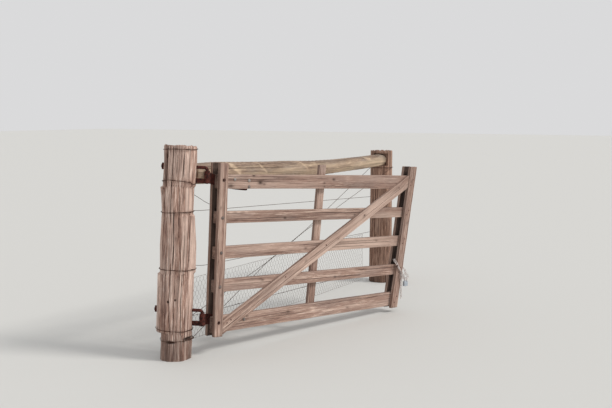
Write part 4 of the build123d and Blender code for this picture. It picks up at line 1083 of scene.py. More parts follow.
def log_wear(metres, spot, section, strip):
    """Adze scallops: on each flat a row of shallow scoops, deepest mid-way, with crisp ridges between."""
    step = (spot % 1.0) * STAY_SIDES
    flat = np.floor(step)
    within = np.abs(step - flat - 0.5) * 2
    pitch = 0.10 + 0.05 * CHANCE[(flat * 31).astype(int)]
    phase = metres / pitch + CHANCE[(flat * 57).astype(int)] * 3 + 0.25 * rough(metres * 3, flat, 91)
    scoop = 1 - (2 * (phase % 1.0) - 1) ** 2
    strength = 0.0055 * (0.55 + 0.45 * rough(metres * 2, flat * 3.7, 92))
    extra = strength * scoop * (1 - 0.5 * within) + 0.002 * ease(within, 0.7, 1.0)
    extra = extra + 0.003 * swell(metres * 2.4, spot * 9, 93)
    top = ease(section[..., 1], 0.02, 0.06)
    near_end = ease(metres, STAY_LENGTH - 0.10, STAY_LENGTH - 0.02)
    stain = 0.25 * clamp(rough(metres * 5, spot * 18, 94) - 0.2) + 0.5 * near_end * (1 - top)
    stain = stain + top * (0.24 + 0.18 * rough(metres * 9, flat * 2.9, 96))
    rubbed = (0.9 + 0.5 * metres / STAY_LENGTH) * (1 - top) * swell(metres * 3, spot * 20, 95)
    # the log is fuller on top over its first half
    extra = extra - 0.010 * top * ease(metres, 0.0, 0.3) * (1 - ease(metres, 1.1, 1.8))
    x, z = metres + STAY_SHOULDER, log_middle(metres / STAY_LENGTH) + section[..., 1]
    for x0, z0, x1, z1, half, strength in LOG_STROKES:
        run_x, run_z = x1 - x0, z1 - z0
        nearest = clamp(((x - x0) * run_x + (z - z0) * run_z) / (run_x ** 2 + run_z ** 2))
        away = np.hypot(x - x0 - nearest * run_x, z - z0 - nearest * run_z)
        stroke = (1 - ease(away, half * 0.3, half)) * (section[..., 0] < 0)
        stroke = stroke * (0.75 + 0.25 * rough(metres * 40, section[..., 1] * 160, 97))
        rubbed, stain, extra = rubbed + strength * stroke, stain * (1 - stroke), extra + 0.003 * stroke
    return extra, clamp(stain), rubbed


def log_ends(points, metres, spot):
    """Squared end: flattened onto the notch's floor and back wall where it lies in the far post."""
    lying = metres > STAY_LENGTH - 0.20
    points[..., 2] = np.where(lying, np.maximum(points[..., 2], STAY_SEAT), points[..., 2])
    points[..., 1] = np.where(lying, np.minimum(points[..., 1], STAY_BACK), points[..., 1])
    return points


LOG_CHECKS = even_splits(8, 9, 0.05, LOG_GIRTH, (0.0009, 0.0017), (0.004, 0.008),
                         ((-0.02, 0.4), (0.25, 0.8), (0.55, 1.02)), 0.006, 6.0, 0.012, 0.08)
log_rows = np.unique(np.concatenate([np.linspace(0, 1, 300), [0.002 / STAY_LENGTH, 1 - 0.002 / STAY_LENGTH]]))
timber("stay_rail_log", "stay_rail", log_surface, STAY_LENGTH, LOG_GIRTH, log_rows, 80, LOG_CHECKS, "fence",
       LOG_WOOD, 35, log_wear, PEELED, corners=np.arange(STAY_SIDES) / STAY_SIDES, reshape=log_ends)

# Wires

LINE_R, BRACE_R = 0.0018, 0.0019         # as drawn, inside the solids' WIRE_R
STRAND_R, STRAND_OFF = 0.0014, 0.0013    # a band's two strands, and how far each is from their middle
NET_R, NET_TWIST_R, NET_EDGE_R = 0.0006, 0.0011, 0.0010
# wire wound round wire: radius of its turns, its own radius, number of turns
BAND_KNOT, LINE_TAIL, LOOSE_TAIL = (0.0030, 0.0012, 4), (0.0026, 0.0009, 6), (0.0036, 0.0013, 6)
NET_TIE = (0.0027, 0.0007, 3)
# a wire staple's half height, the rise of its crown, how far that is let in, its legs, its wire
TACK_HALF, TACK_RISE, TACK_LET_IN, TACK_LEG, TACK_R = 0.0055, 0.0052, 0.002, 0.016, 0.0014


def band_path(height, drop, out, count=160):
    """Ring round the hinge post in a level or tipped plane, a little outside its skin."""
    spots = np.arange(count) / count
    tilt = math.atan2(drop, POST_STATIONS[1, 1])
    w = np.full(count, height / W_DIR[2])
    for _ in range(6):
        x, y = post_section(w, spots)
        w = (height - x * math.tan(tilt) - x * POST_X[2] - y * POST_Y[2]) / W_DIR[2]
    away = np.hypot(x, y)
    return post_point(w, x * (1 + out / away), y * (1 + out / away))


def strands(path, pitch, phase=0.0):
    """Two wires laid side by side that turn slowly about each other round a closed path."""
    run = run_along(path)
    whole = run[-1] + np.linalg.norm(path[0] - path[-1])
    angle = run / whole * round(whole / pitch) * TURN + phase
    tangent = direction(path, True)
    side = unit(np.cross(UP, tangent))
    swing = np.cos(angle)[:, None] * np.cross(tangent, side) + np.sin(angle)[:, None] * side
    return [tube(path + s * STRAND_OFF * swing, STRAND_R, 6, ring=True) for s in (1, -1)]


def coil(start, end, radius, wire, turns):
    """Wire wound round a line from start to end: a helix, carried as a tube and drawn in at its ends."""
    start, end = np.asarray(start, float), np.asarray(end, float)
    share = np.linspace(0, 1, int(turns * 14))
    along = unit(end - start)
    side = unit(np.cross(UP if abs(along[2]) < 0.8 else ALONG, along))
    top = np.cross(along, side)
    turn = share * turns * TURN
    path = start + share[:, None] * (end - start)
    path = path + radius * (np.cos(turn)[:, None] * side + np.sin(turn)[:, None] * top)
    return tube(path, wire * (1 - 0.5 * ease(np.abs(share - 0.5), 0.47, 0.5)), 6, along)


def band_corners(band):
    """Corners of the hinge post in the plane of a named band."""
    return band_path(*BANDS[band], 0.0, POST_SIDES)


def behind_line(band, *stops, overrun=0.0):
    """Points of a wire behind the fence line, from its band to the back of the far post."""
    corners = band_corners(band)
    near = corners[corners[:, 1].argmax()]
    start = near[1] + OVER_BAND
    far = far_section(stops[-1][1], np.arange(400) / 400)[1].max() + WIRE_R + SEAT
    points = [[near[0], start, near[2]]]
    for x, z in stops:
        points.append([x, start + (x - near[0]) / (SPAN - near[0]) * (far - start), z])
    points = np.array(points)
    points[-1] += unit(points[-1] - points[-2]) * overrun
    return points


def eased_route(points, spacing=0.02, soften=0.06):
    """Straight lengths with their kinks smoothed: even steps along them, averaged over a short window."""
    points = np.asarray(points, float)
    run = run_along(points)
    places = np.linspace(0, run[-1], max(8, int(run[-1] / spacing)))

    def at(where):
        return np.stack([np.interp(where, run, points[:, k]) for k in range(3)], -1)

    reach = np.minimum(soften, np.minimum(places, run[-1] - places))
    return at(places[:, None] + reach[:, None] * np.linspace(-1, 1, 9)).mean(1)


# how far a band has ridden up in the middle of the near side
BAND_ARCH = {"second_band": 0.020, "top_band": 0.004}
for number, (name, (height, drop)) in enumerate(BANDS.items()):
    path = band_path(height, drop, 0.0006)
    path[:, 2] += BAND_ARCH.get(name, 0) * ease(-(path @ POST_Y), 0.050, 0.104)
    path[:, 2] += 0.0015 * np.sin(np.arange(len(path)) / len(path) * 2 * TURN + number * 1.9)
    # the ends are twitched together on the side that faces the leaf
    tail = path[int((0.80 + 0.03 * number) * len(path)) % len(path)]
    away = unit((tail - W_DIR * tail[2]) * np.array([1, 1, 0]))
    knot = coil(tail + away * 0.002, tail + away * 0.004 + np.cross(UP, away) * 0.022, *BAND_KNOT)
    make_piece(f"{name}_strands", strands(path, 0.16, number) + [knot], "fence", WIRE, name)

loop_x, loop_y = far_section(FAR_LOOP, np.arange(120) / 120)
out = 1 + 0.0018 / np.hypot(loop_x, loop_y)
loop = np.stack([SPAN + loop_x * out, loop_y * out, np.full(120, FAR_LOOP)], -1)
make_piece("far_loop_strands", strands(loop, 0.14), "fence", WIRE, "far_loop")

top_line, middle_line, low_line = (
    behind_line(*wire, overrun=WIRE_PAST) for wire in (TOP_WIRE, MIDDLE_WIRE, BOTTOM_WIRE))
# the loose wire ends on the top one
LOOSE_LIFT = 0.0042
loose_line = behind_line(*LOOSE_WIRE)
share = (loose_line[-1, 0] - top_line[-2, 0]) / (top_line[-1, 0] - top_line[-2, 0])
loose_line[-1] = top_line[-2] + (top_line[-1] - top_line[-2]) * share + UP * LOOSE_LIFT
for name, route in (("line_wire_top", top_line), ("line_wire_middle", middle_line),
                    ("line_wire_bottom", low_line), ("loose_wire", loose_line)):
    path = eased_route(route)
    # each is made fast by its own tail wound round it beside the post
    first = path[0] + unit(path[1] - path[0]) * 0.012
    skins = [tube(path, LINE_R, 8), coil(first, first + unit(path[3] - path[0]) * 0.024, *LINE_TAIL)]
    if name == "loose_wire":
        last = path[-1] - UP * LOOSE_LIFT
        skins.append(coil(last, last + unit(top_line[-1] - top_line[-2]) * 0.045, *LOOSE_TAIL))
    make_piece(f"{name}_run", skins, "fence", WIRE, name)

# the brace wire: from the loop at the hinge post's foot up to the far post, twisted midway
loop_corners = band_corners("near_loop")
LAID = WIRE_R + 0.00015
tie_x, tie_z = loop_corners[:, 0].max() / 4, BANDS["near_loop"][0]
for side, name in ((1, "brace_wire_back"), (-1, "brace_wire_front")):
    spread = ((side * loop_corners[:, 1] + OVER_BAND + SEAT - LAID) / (TWIST[0] - loop_corners[:, 0])).max()
    far = (side * loop_y).max() + OVER_BAND
    x = np.linspace(tie_x, SPAN, 700)
    y = np.interp(x, (tie_x, *TWIST, SPAN), (LAID + spread * (TWIST[0] - tie_x), LAID, LAID, far))
    # inside the twist the strand turns about the common line; its turns die out into the straight strand
    wound = plateau(x, TWIST[0] - 0.01, TWIST[1] + 0.01, 0.04)
    angle = clamp((x - TWIST[0]) / (TWIST[1] - TWIST[0])) * TWIST_TURNS * TURN
    y = y * (1 - wound) + LAID * np.cos(angle) * wound
    z = tie_z + (FAR_LOOP - tie_z) / (SPAN - tie_x) * (x - tie_x) + side * LAID * np.sin(angle) * wound
    make_piece(f"{name}_strand", [tube(np.stack([x, side * y, z], -1), BRACE_R, 8)], "fence", WIRE, name)

# staples that hold the wires on the far post's back
staple_skins = []
for route in (top_line, middle_line, low_line):
    at = np.array([SPAN, route[-1][1], np.interp(SPAN, route[:, 0], route[:, 2])])
    turn = np.linspace(0, math.pi, 9)
    arch = np.stack([0 * turn, TACK_RISE * np.sin(turn) - TACK_LET_IN, TACK_HALF * np.cos(turn)], -1)
    path = at + np.concatenate([[[0, -TACK_LEG, TACK_HALF]], arch, [[0, -TACK_LEG, -TACK_HALF]]])
    staple_skins.append(tube(path, TACK_R, 6, ACROSS))
make_piece("wire_staples", staple_skins, "fence", WIRE)

# Netting: hexagons of fine wire with one twisted pair of sides, between two edge wires

net_slope = (low_line[1, 1] - low_line[0, 1]) / (low_line[1, 0] - low_line[0, 0])
net_start = low_line[0, 1] - net_slope * low_line[0, 0] + WIRE_R + SEAT


def net_point(x, z):
    """Point of the netting: flat behind the bottom wire, then pulled a little out of true and into waves."""
    x, z = np.broadcast_arrays(np.asarray(x, float), z)
    inside = ease(np.minimum(x - NET_MARGIN, SPAN - NET_MARGIN - x), 0.0, 0.05)
    inside = inside * ease(np.minimum(z - NET_BOTTOM, NET_TOP - z), -0.001, 0.03)
    across = x + 0.006 * rough(x * 6, z * 9, 51) * inside
    up = z + 0.005 * rough(x * 5 + 40, z * 7, 52) * inside
    back = 0.0002 + 0.0034 * swell(x * 2.4, z * 3.0, 53) * inside
    return np.stack([across, net_start + net_slope * x + back, up], -1)


def prisms(starts, ends, radii):
    """Three-sided wires from point to point, closed at both ends, all in one skin."""
    along = unit(ends - starts)
    side = unit(np.cross(along, np.array([0.0, 1.0, 0.0])))
    back = np.cross(along, side)
    turn = np.arange(3)[None, :, None] * TURN / 3
    ring = radii[:, None, None] * (np.cos(turn) * side[:, None] + np.sin(turn) * back[:, None])
    verts = np.concatenate([starts[:, None] + ring, ends[:, None] + ring], 1).reshape(-1, 3)
    base = np.arange(len(starts))[:, None, None] * 6
    quads = (base + np.array([[0, 1, 4, 3], [1, 2, 5, 4], [2, 0, 3, 5]])).reshape(-1, 4)
    tris = (base + np.array([[0, 2, 1], [3, 4, 5]])).reshape(-1, 3)
    return verts, quads, tris


wide, twisted, slant = NET_CELL
net_end = SPAN - NET_MARGIN
columns = np.arange(int((net_end - NET_MARGIN) / wide) + 1)
cell_rows = np.arange(int((NET_TOP - NET_BOTTOM) / (twisted + slant)) + 1)
cell_x, cell_row = (grid.ravel() for grid in np.meshgrid(columns, cell_rows))
left = NET_MARGIN + (cell_x + 0.5 * (cell_row % 2)) * wide
foot = NET_BOTTOM + cell_row * (twisted + slant)
knee, peak = foot + twisted, foot + twisted + slant
x0, z0 = np.concatenate([left, left, left]), np.concatenate([foot, knee, knee])
x1, z1 = np.concatenate([left, left + wide / 2, left - wide / 2]), np.concatenate([knee, peak, peak])
radii = np.repeat([NET_TWIST_R, NET_R, NET_R], len(left))
kept = (np.minimum(x0, x1) >= NET_MARGIN) & (np.maximum(x0, x1) <= net_end) & (z1 <= NET_TOP + 1e-6)
net_skins = [prisms(net_point(x0, z0)[kept], net_point(x1, z1)[kept], radii[kept])]
edge_x = np.linspace(NET_MARGIN, net_end, 240)
edge_z = np.linspace(NET_BOTTOM + 0.0012, NET_TOP - 0.0012, 50)
net_skins += [tube(net_point(edge_x, z), NET_EDGE_R, 5) for z in edge_z[[0, -1]]]
net_skins += [tube(net_point(x, edge_z), NET_EDGE_R, 5, ACROSS) for x in (NET_MARGIN, net_end)]
low_run = low_line[1] - low_line[0]
net_skins += [coil(low_line[0] + low_run * where, low_line[0] + low_run * (where + 0.005), *NET_TIE)
              for where in np.linspace(0.08, 0.88, 9)]
make_piece("netting_mesh", net_skins, "fence", NET, "netting")

# Ironwork of the hinges

def turned(origin, axis, side, profile, count=24, square=0.0, hollow=False):
    """Turned form: pairs of radius and height carried round an axis; a hollow one's pairs close.

    A square one's radius follows a superellipse of that power, so that it has four rounded corners.
    """
    across = np.cross(axis, side)
    turn = np.arange(count) * TURN / count
    stretch = np.ones(count)
    if square:
        stretch = (np.abs(np.cos(turn)) ** square + np.abs(np.sin(turn)) ** square) ** (-1 / square)
    radius, height = np.asarray(profile, float).T[..., None]
    around = np.cos(turn)[:, None] * side + np.sin(turn)[:, None] * across
    return shell(origin + height[..., None] * axis + (radius * stretch)[..., None] * around, hollow)


def ring_profile(inner, outer, low, high, soft):
    """Section of a washer or an eye: a rectangle with bevelled corners, closed on itself."""
    return [(inner, low + soft), (inner + soft, low), (outer - soft, low), (outer, low + soft),
            (outer, high - soft), (outer - soft, high), (inner + soft, high), (inner, high - soft)]


def bar(path, side, wide, high, radius, columns=32):
    """Rounded rectangle carried along a path: wide along side, high square to it."""
    top = unit(np.cross(direction(path), side))
    a, b = rounded_section(np.arange(columns) / columns, wide, high, radius)
    return shell(path[:, None] + a[..., None] * side + b[..., None] * top[:, None])


def hammered(skin, depth, scale, seed):
    """The same skin pressed inwards by smooth noise, along normals summed from its faces."""
    verts, quads, tris = outward(*skin)
    normal = np.zeros_like(verts)
    # square to both diagonals of a quad, or to two edges of a triangle
    for faces, (a, b, c, d) in ((quads, (0, 1, 2, 3)), (tris, (0, 0, 1, 2))):
        flat = np.cross(verts[faces[:, c]] - verts[faces[:, a]], verts[faces[:, d]] - verts[faces[:, b]])
        for k in range(faces.shape[1]):
            np.add.at(normal, faces[:, k], flat)
    dent = swell((verts[:, 0] + verts[:, 2] * 0.7) * scale, (verts[:, 1] - verts[:, 2] * 0.5) * scale, seed)
    return verts - unit(normal) * (depth * dent)[:, None], quads, tris


PIN_REACH = math.hypot(PIN_U, PIN_V)
PIN_TURN = math.atan2(PIN_V, PIN_U)
OUT_DIR = math.cos(PIN_TURN) * U_DIR + math.sin(PIN_TURN) * V_DIR
SIDE_DIR = np.cross(W_DIR, OUT_DIR)


def eye_span(bolt_w):
    """Bottom and top of a strap's eye under its hinge bolt."""
    top = bolt_w - GUDGEON_BEND - COLLAR_THICK - EYE_PLAY
    return top - EYE_HEIGHT, top


def gudgeon_skins(bolt_w):
    """Rod from behind the post, bent through a quarter circle into the pin, with its collar."""
    seat = -post_corners(bolt_w)[0].min() - NUT_LET_IN
    tail = seat + WASHER_THICK + NUT_THICK + BOLT_SHOWING
    bend = PIN_REACH - GUDGEON_BEND
    low = eye_span(bolt_w)[0] - EYE_PLAY - KEEPER_HEIGHT - BOLT_SHOWING
    turn = np.linspace(0, math.pi / 2, 10)
    reach = np.concatenate([[-tail, 0.0015 - tail], np.linspace(0.004 - tail, bend - 0.004, 40),
                            bend + GUDGEON_BEND * np.sin(turn), np.full(22, PIN_REACH)])
    pin = np.concatenate([np.linspace(bolt_w - GUDGEON_BEND - 0.004, low + 0.004, 20), [low + 0.0015, low]])
    height = np.concatenate([np.full(42, bolt_w), bolt_w - GUDGEON_BEND * (1 - np.cos(turn)), pin])
    path = reach[:, None] * OUT_DIR + height[:, None] * W_DIR
    radius = np.full(len(path), PIN_R - 0.0002)
    radius[[0, -1]] -= 0.0016
    rod = hammered(tube(path, radius, 20, SIDE_DIR), 0.0003, 70, 61)
    top = bolt_w - GUDGEON_BEND
    collar = ring_profile(PIN_R - 0.0006, COLLAR_R, top - COLLAR_THICK, top, 0.0010)
    return [rod, turned(leaf(0, 0, 0), W_DIR, OUT_DIR, collar, hollow=True)]


def nut_skins(bolt_w):
    """Square nut with its corners knocked off, on a round washer let into the post."""
    seat = bolt_w * W_DIR + (post_corners(bolt_w)[0].min() + NUT_LET_IN) * OUT_DIR
    ring = ring_profile(PIN_R, WASHER_R, 0, WASHER_THICK, 0.0008)
    washer = turned(seat, -OUT_DIR, W_DIR, ring, 32, hollow=True)
    half, soft, low, high = NUT_ACROSS / 2, 0.0016, WASHER_THICK, WASHER_THICK + NUT_THICK
    nut = turned(seat, -OUT_DIR, unit(W_DIR + SIDE_DIR), [
        (0.004, low), (half - soft, low), (half, low + soft), (half, high - soft), (half - soft, high),
        (0.004, high)], 48, square=9.0)
    return [hammered(washer, 0.0004, 60, 62), hammered(nut, 0.0005, 60, 63)]


def keeper_skins(bolt_w):
    """Forged lug: a bar driven into the post that ends in an eye round the pin."""
    top = eye_span(bolt_w)[0] - EYE_PLAY
    low = top - KEEPER_HEIGHT
    tang = post_corners(low)[0].max() - KEEPER_DRIVEN
    reach = np.concatenate([[tang, tang + 0.001], np.linspace(tang + 0.004, PIN_REACH - PIN_R - 0.006, 24)])
    path = reach[:, None] * OUT_DIR + (low + top) / 2 * W_DIR
    lug = bar(path, SIDE_DIR, KEEPER_THICK - 0.0004, KEEPER_HEIGHT - 0.0006, 0.0022)
    ring = ring_profile(PIN_R + SEAT, KEEPER_R, low, top, 0.0016)
    eye = turned(leaf(0, 0, 0), W_DIR, OUT_DIR, ring, 32, hollow=True)
    return [hammered(lug, 0.0005, 55, 64), hammered(eye, 0.0005, 55, 65)]


STRAP_CLEAR = KEEPER_R + 0.005    # past the keeper a strap deepens to the keeper's foot


def strap_skin(bolt_w, tail_w, seed):
    """Strap of one bar: wrapped round the pin, cranked behind the rail, and tapering to its rounded tail."""
    eye_low, eye_high = eye_span(bolt_w)
    eye_r = PIN_R + EYE_PLAY + STRAP_THICK / 2
    middle_v = RAIL_BACK + STRAP_THICK / 2
    outer = PIN_R + EYE_PLAY + STRAP_THICK
    wrap = np.radians(np.linspace(90 + 338, 90, 44))
    eye = np.stack([eye_r * np.cos(wrap), eye_r * np.sin(wrap)], -1)
    crank = HINGE_EDGE + BACK_SET - 0.012
    turns = eased_route([(0.001, eye_r, 0), (outer, eye_r, 0), (crank, middle_v, 0),
                         (STRAP_LENGTH, middle_v, 0)], 0.0045, 0.010)[:, :2]
    plan = np.concatenate([eye, turns])
    u = plan[:, 0]
    flat_part = np.arange(len(plan)) >= len(eye)
    share = clamp((u - STRAP_CLEAR) / (STRAP_LENGTH - STRAP_CLEAR))
    lowest, tail_low = eye_low - KEEPER_HEIGHT, tail_w - STRAP_TAIL / 2
    dip = 0.010 * np.sin(math.pi * share) * (1 if tail_low < lowest else -0.5)
    low = np.where(flat_part & (u > STRAP_CLEAR), lowest + share * (tail_low - lowest) - dip, eye_low)
    low = np.where(flat_part, eye_low + (low - eye_low) * ease(u, STRAP_CLEAR, STRAP_CLEAR + 0.009), eye_low)
    top_share = clamp((u - outer) / (STRAP_LENGTH - outer))
    high = np.where(flat_part, eye_high + top_share * (tail_w + STRAP_TAIL / 2 - eye_high), eye_high)
    round_off = np.sqrt(np.clip(1 - (np.clip(u - (STRAP_LENGTH - 0.016), 0, 0.016) / 0.0165) ** 2, 0.04, 1))
    half = (high - low) / 2 * np.where(flat_part, round_off, 1)
    middle = (high + low) / 2
    path = leaf(plan[:, 0], plan[:, 1], 0.0)
    normal = np.cross(W_DIR, direction(path))
    a, b = rounded_section(np.arange(40) / 40, 2 * half[:, None], STRAP_THICK - SEAT, 0.0018)
    points = path[:, None] + (middle[:, None] + a)[..., None] * W_DIR + b[..., None] * normal[:, None]
    return hammered(shell(points), 0.0007, 45, seed)


for end, (bolt_w, tail_w) in HINGES.items():
    for part, node, skins, body in (("gudgeon", "gudgeon", gudgeon_skins(bolt_w), "fence"),
                                    ("nut", "gudgeon_nut", nut_skins(bolt_w), "fence"),
                                    ("keeper", "keeper", keeper_skins(bolt_w), "fence"),
                                    ("strap", "strap", [strap_skin(bolt_w, tail_w, 66)], "leaf")):
        make_piece(f"{end}_{part}_forged", skins, body, IRON, f"{end}_{node}", sharp=40)

# bolts of the leaf

def strap_height(bolt_w, tail_w, u):
    """Middle height of a strap at u."""
    low, high = eye_span(bolt_w)
    share = (u - STRAP_CLEAR) / (STRAP_LENGTH - STRAP_CLEAR)
    return (low + high - KEEPER_HEIGHT) / 2 * (1 - share) + tail_w * share


def bolt_skins(u, w, front, back, turn):
    """Round-headed bolt: a low dome in front, a shank, and a square nut with the bolt's end behind."""
    dome = [(HEAD_R - 0.001, 0), (HEAD_R, 0.0008), (HEAD_R * 0.93, 0.0024), (HEAD_R * 0.75, 0.0042),
            (HEAD_R * 0.48, 0.0054), (HEAD_R * 0.2, HEAD_HEIGHT)]
    side = math.cos(turn) * W_DIR + math.sin(turn) * U_DIR
    half, high, tip = SMALL_NUT_ACROSS / 2, SMALL_NUT_THICK, back - front + SMALL_NUT_THICK + 0.004
    head = turned(leaf(u, front, w), -V_DIR, side, dome, 20)
    nut = turned(leaf(u, back, w), V_DIR, side, [
        (0.003, 0), (half, 0), (half, high - 0.001), (half - 0.001, high), (0.003, high)], 24, square=8.0)
    shank = turned(leaf(u, front, w), V_DIR, side, [
        (SMALL_BOLT_R, 0), (SMALL_BOLT_R, tip - 0.001), (SMALL_BOLT_R - 0.001, tip)], 12)
    return [head, hammered(nut, 0.0003, 90, 67), shank]


def coat(skins, zinc):
    """How much zinc each point of some skins keeps."""
    return np.full((sum(len(skin[0]) for skin in skins), 3), zinc)


pale_bolts, dark_bolts = [], []
for number, (sizes, up) in enumerate(zip(RAILS.values(), STILE_BOLTS_UP)):
    group = pale_bolts if number in (1, 2, 3) else dark_bolts
    group += bolt_skins(STILE_BOLT_U, sizes[0] + up, LEAF_FRONT, STILE_BACK, number * 0.5)
make_piece("stile_bolts_round", pale_bolts + dark_bolts, "leaf", BOLT, "stile_bolts", sharp=40,
           marks={"zinc": np.concatenate([coat(pale_bolts, 1 / 3), coat(dark_bolts, 0.0)])})
strap_bolt_skins = []
for (bolt_w, tail_w), up, turn in zip(HINGES.values(), (0.006, 0.0), (0.3, 0.9)):
    strap_bolt_skins += bolt_skins(STRAP_BOLT_U, strap_height(bolt_w, tail_w, STRAP_BOLT_U) + up, RAIL_FRONT,
                                   RAIL_BACK + STRAP_THICK, turn)
make_piece("strap_bolts_round", strap_bolt_skins, "leaf", BOLT, "strap_bolts", sharp=40,
           marks={"zinc": coat(strap_bolt_skins, 0.45)})
# two more pale heads on the top rail, above the strap: u, w and turn
RAIL_HEADS = ((0.246, 1.266, 0.2), (0.378, 1.258, 0.7))
head_skins = [bolt_skins(u, w, RAIL_FRONT, RAIL_BACK, turn)[0] for u, w, turn in RAIL_HEADS]
make_piece("rail_bolt_heads", head_skins, "leaf", BOLT, sharp=40, marks={"zinc": coat(head_skins, 0.8)})

BRACE_NAILS = (0.20, 0.235, 0.75, 1.17, 1.60, 2.02)
STILE_NAILS = ((0.28, -0.012), (0.70, 0.010))    # part of the rail's width, and aside of the stile's middle
# nails of the latch stiles, the middle stile and the brace: u, w, face (front -1, back 1), face's v
nail_spots = []
for sizes in RAILS.values():
    for share, shift in STILE_NAILS:
        w = sizes[2] + share * sizes[3]
        nail_spots.append((latch_u(w) + shift, w, -1, LEAF_FRONT))
        nail_spots.append((latch_u(w) + LATCH_BACK_SET - shift, w, 1, STILE_BACK))
        nail_spots.append((middle_u(w) + shift, w, 1, STILE_BACK))
for u in BRACE_NAILS:
    w = BRACE_FOOT_W + brace_slope * (u - brace_start) + 0.012
    nail_spots.append((u, w, -1, RAIL_FRONT - BRACE_THICK))
NAIL = [(0.0030, 0), (0.0046, 0.0018), (0.0046, 0.0026), (0.0028, 0.0034)]
nail_skins = [turned(leaf(u, v - face * 0.002, w), face * V_DIR, W_DIR, NAIL, 10, square=5.0)
              for u, w, face, v in nail_spots]
make_piece("board_nails", nail_skins, "leaf", IRON, sharp=40)

# Chain, staple and padlock

PITCH = LINK_STRAIGHT + 2 * LINK_BEND - 2 * LINK_R - LINK_PLAY
LINK_HALF = LINK_STRAIGHT / 2 + LINK_BEND
CHAIN_V = LEAF_FRONT - LINK_BEND - LINK_R - SEAT
CHAIN_DIR = U_DIR * math.cos(CHAIN_SLANT) - W_DIR * math.sin(CHAIN_SLANT)
CHAIN_SIDE = np.cross(CHAIN_DIR, V_DIR)
LAST_LINK = leaf(CHAIN_END[0], CHAIN_V, CHAIN_END[1])
HOOK_ALONG = 0.003


def link_skin(middle, along, face):
    """Chain link: a round wire carried round a racetrack that lies square to face."""
    across = np.cross(face, along)
    turn = np.linspace(0, math.pi, 9)
    x, y = LINK_STRAIGHT / 2 + LINK_BEND * np.sin(turn), LINK_BEND * np.cos(turn)
    x, y = np.concatenate([x, -x]), np.concatenate([y, -y])
    path = middle + x[:, None] * along + y[:, None] * across
    return tube(path, LINK_R - 0.00005, 10, face, ring=True)


def links_along(spots, first):
    """Links a pitch apart on an eased line through leaf points, each a quarter turn from the one before."""
    path = eased_route([leaf(*spot) for spot in spots], 0.002, 0.010)
    run = run_along(path)

    def at(where):
        return np.array([np.interp(where, run, path[:, k]) for k in range(3)])

    skins = []
    for n, where in enumerate(np.arange(PITCH / 2, run[-1], PITCH)):
        along = unit(at(where + 0.006) - at(where - 0.006))
        flat_way = unit(V_DIR - (V_DIR @ along) * along + 1e-6 * UP)
        turn = (n % 2) * math.pi / 2 + 0.5 * CHANCE[first * 100 + n]
        face = math.cos(turn) * flat_way + math.sin(turn) * np.cross(along, flat_way)
        skins.append(link_skin(at(where), along, unit(face - (face @ along) * along)))
    return skins


hook = LAST_LINK - CHAIN_DIR * (PITCH * (CHAIN_LINKS - TAIL_FROM) - HOOK_ALONG)
hook = hook - CHAIN_SIDE * LINK_BEND * (1 if CHAIN_SIDE[2] > 0 else -1)
tail_top = hook - UP * (LINK_STRAIGHT / 2 - 0.001)
link_skins = [link_skin(LAST_LINK - CHAIN_DIR * (PITCH * n), CHAIN_DIR, V_DIR if n % 2 else CHAIN_SIDE)
              for n in range(CHAIN_LINKS)]
link_skins += [link_skin(tail_top - UP * (PITCH * n), -UP, V_DIR if n % 2 else ALONG)
               for n in range(TAIL_LINKS)]
# the rest of it goes through the slot above rail 4, round the front stile and back to the lock
ROUND_STILE = [(2.052, -0.047, 0.508), (2.028, -0.043, 0.548), (2.022, -0.020, 0.574), (2.046, 0.014, 0.582),
               (2.085, 0.018, 0.572), (2.128, 0.018, 0.546), (2.152, -0.006, 0.508), (2.150, -0.042, 0.474),
               (2.130, -0.052, 0.440)]
# a slack loop hangs over the lock
SLACK_LOOP = [(2.082, -0.062, 0.476), (2.074, -0.060, 0.446), (2.100, -0.058, 0.420), (2.136, -0.060, 0.408),
              (2.160, -0.058, 0.424), (2.152, -0.060, 0.456), (2.118, -0.064, 0.466)]
link_skins += links_along(ROUND_STILE, 0) + links_along(SLACK_LOOP, 3)
make_piece("chain_round", link_skins, "leaf", CHAIN_STEEL, "chain")

RUN_LENGTH = PITCH * (CHAIN_LINKS - 1) + LINK_HALF - 2 * LINK_R - LINK_PLAY / 2
crown = LAST_LINK - CHAIN_DIR * RUN_LENGTH
half = STAPLE_SPREAD / 2
corner_turn = np.linspace(0, math.pi / 2, 6)
reach_in = np.concatenate([[STAPLE_DEPTH], 2 * LINK_R * (1 - np.sin(corner_turn))])
spread = np.concatenate([[half], half - 2 * LINK_R * (1 - np.cos(corner_turn))])
staple_in = np.concatenate([reach_in, reach_in[::-1]])
staple_across = np.concatenate([-spread, spread[::-1]])
staple_path = crown + staple_across[:, None] * CHAIN_SIDE + staple_in[:, None] * V_DIR
make_piece("chain_staple_round", [tube(staple_path, LINK_R, 10, CHAIN_DIR)], "leaf", IRON, "chain_staple")

shackle_top = LAST_LINK + CHAIN_DIR * (LINK_HALF - LINK_R - SHACKLE_R - LINK_PLAY / 2)
lock_origin = shackle_top + CHAIN_DIR * SHACKLE_BEND
turn = np.linspace(0, math.pi, 19)
leg = np.linspace(-SHACKLE_LEG - SHACKLE_SUNK, -0.001, 8)
shackle_x = np.concatenate([np.full(8, SHACKLE_BEND), SHACKLE_BEND * np.cos(turn), np.full(8, -SHACKLE_BEND)])
shackle_z = np.concatenate([leg, SHACKLE_BEND * np.sin(turn), leg[::-1]])
shackle_path = lock_origin + shackle_x[:, None] * ALONG + shackle_z[:, None] * UP
make_piece("padlock_shackle_round", [tube(shackle_path, SHACKLE_R, 12, V_DIR)], "leaf", LOCK_STEEL,
           "padlock_shackle")

lock_middle = lock_origin - UP * (SHACKLE_LEG + LOCK_HEIGHT / 2)


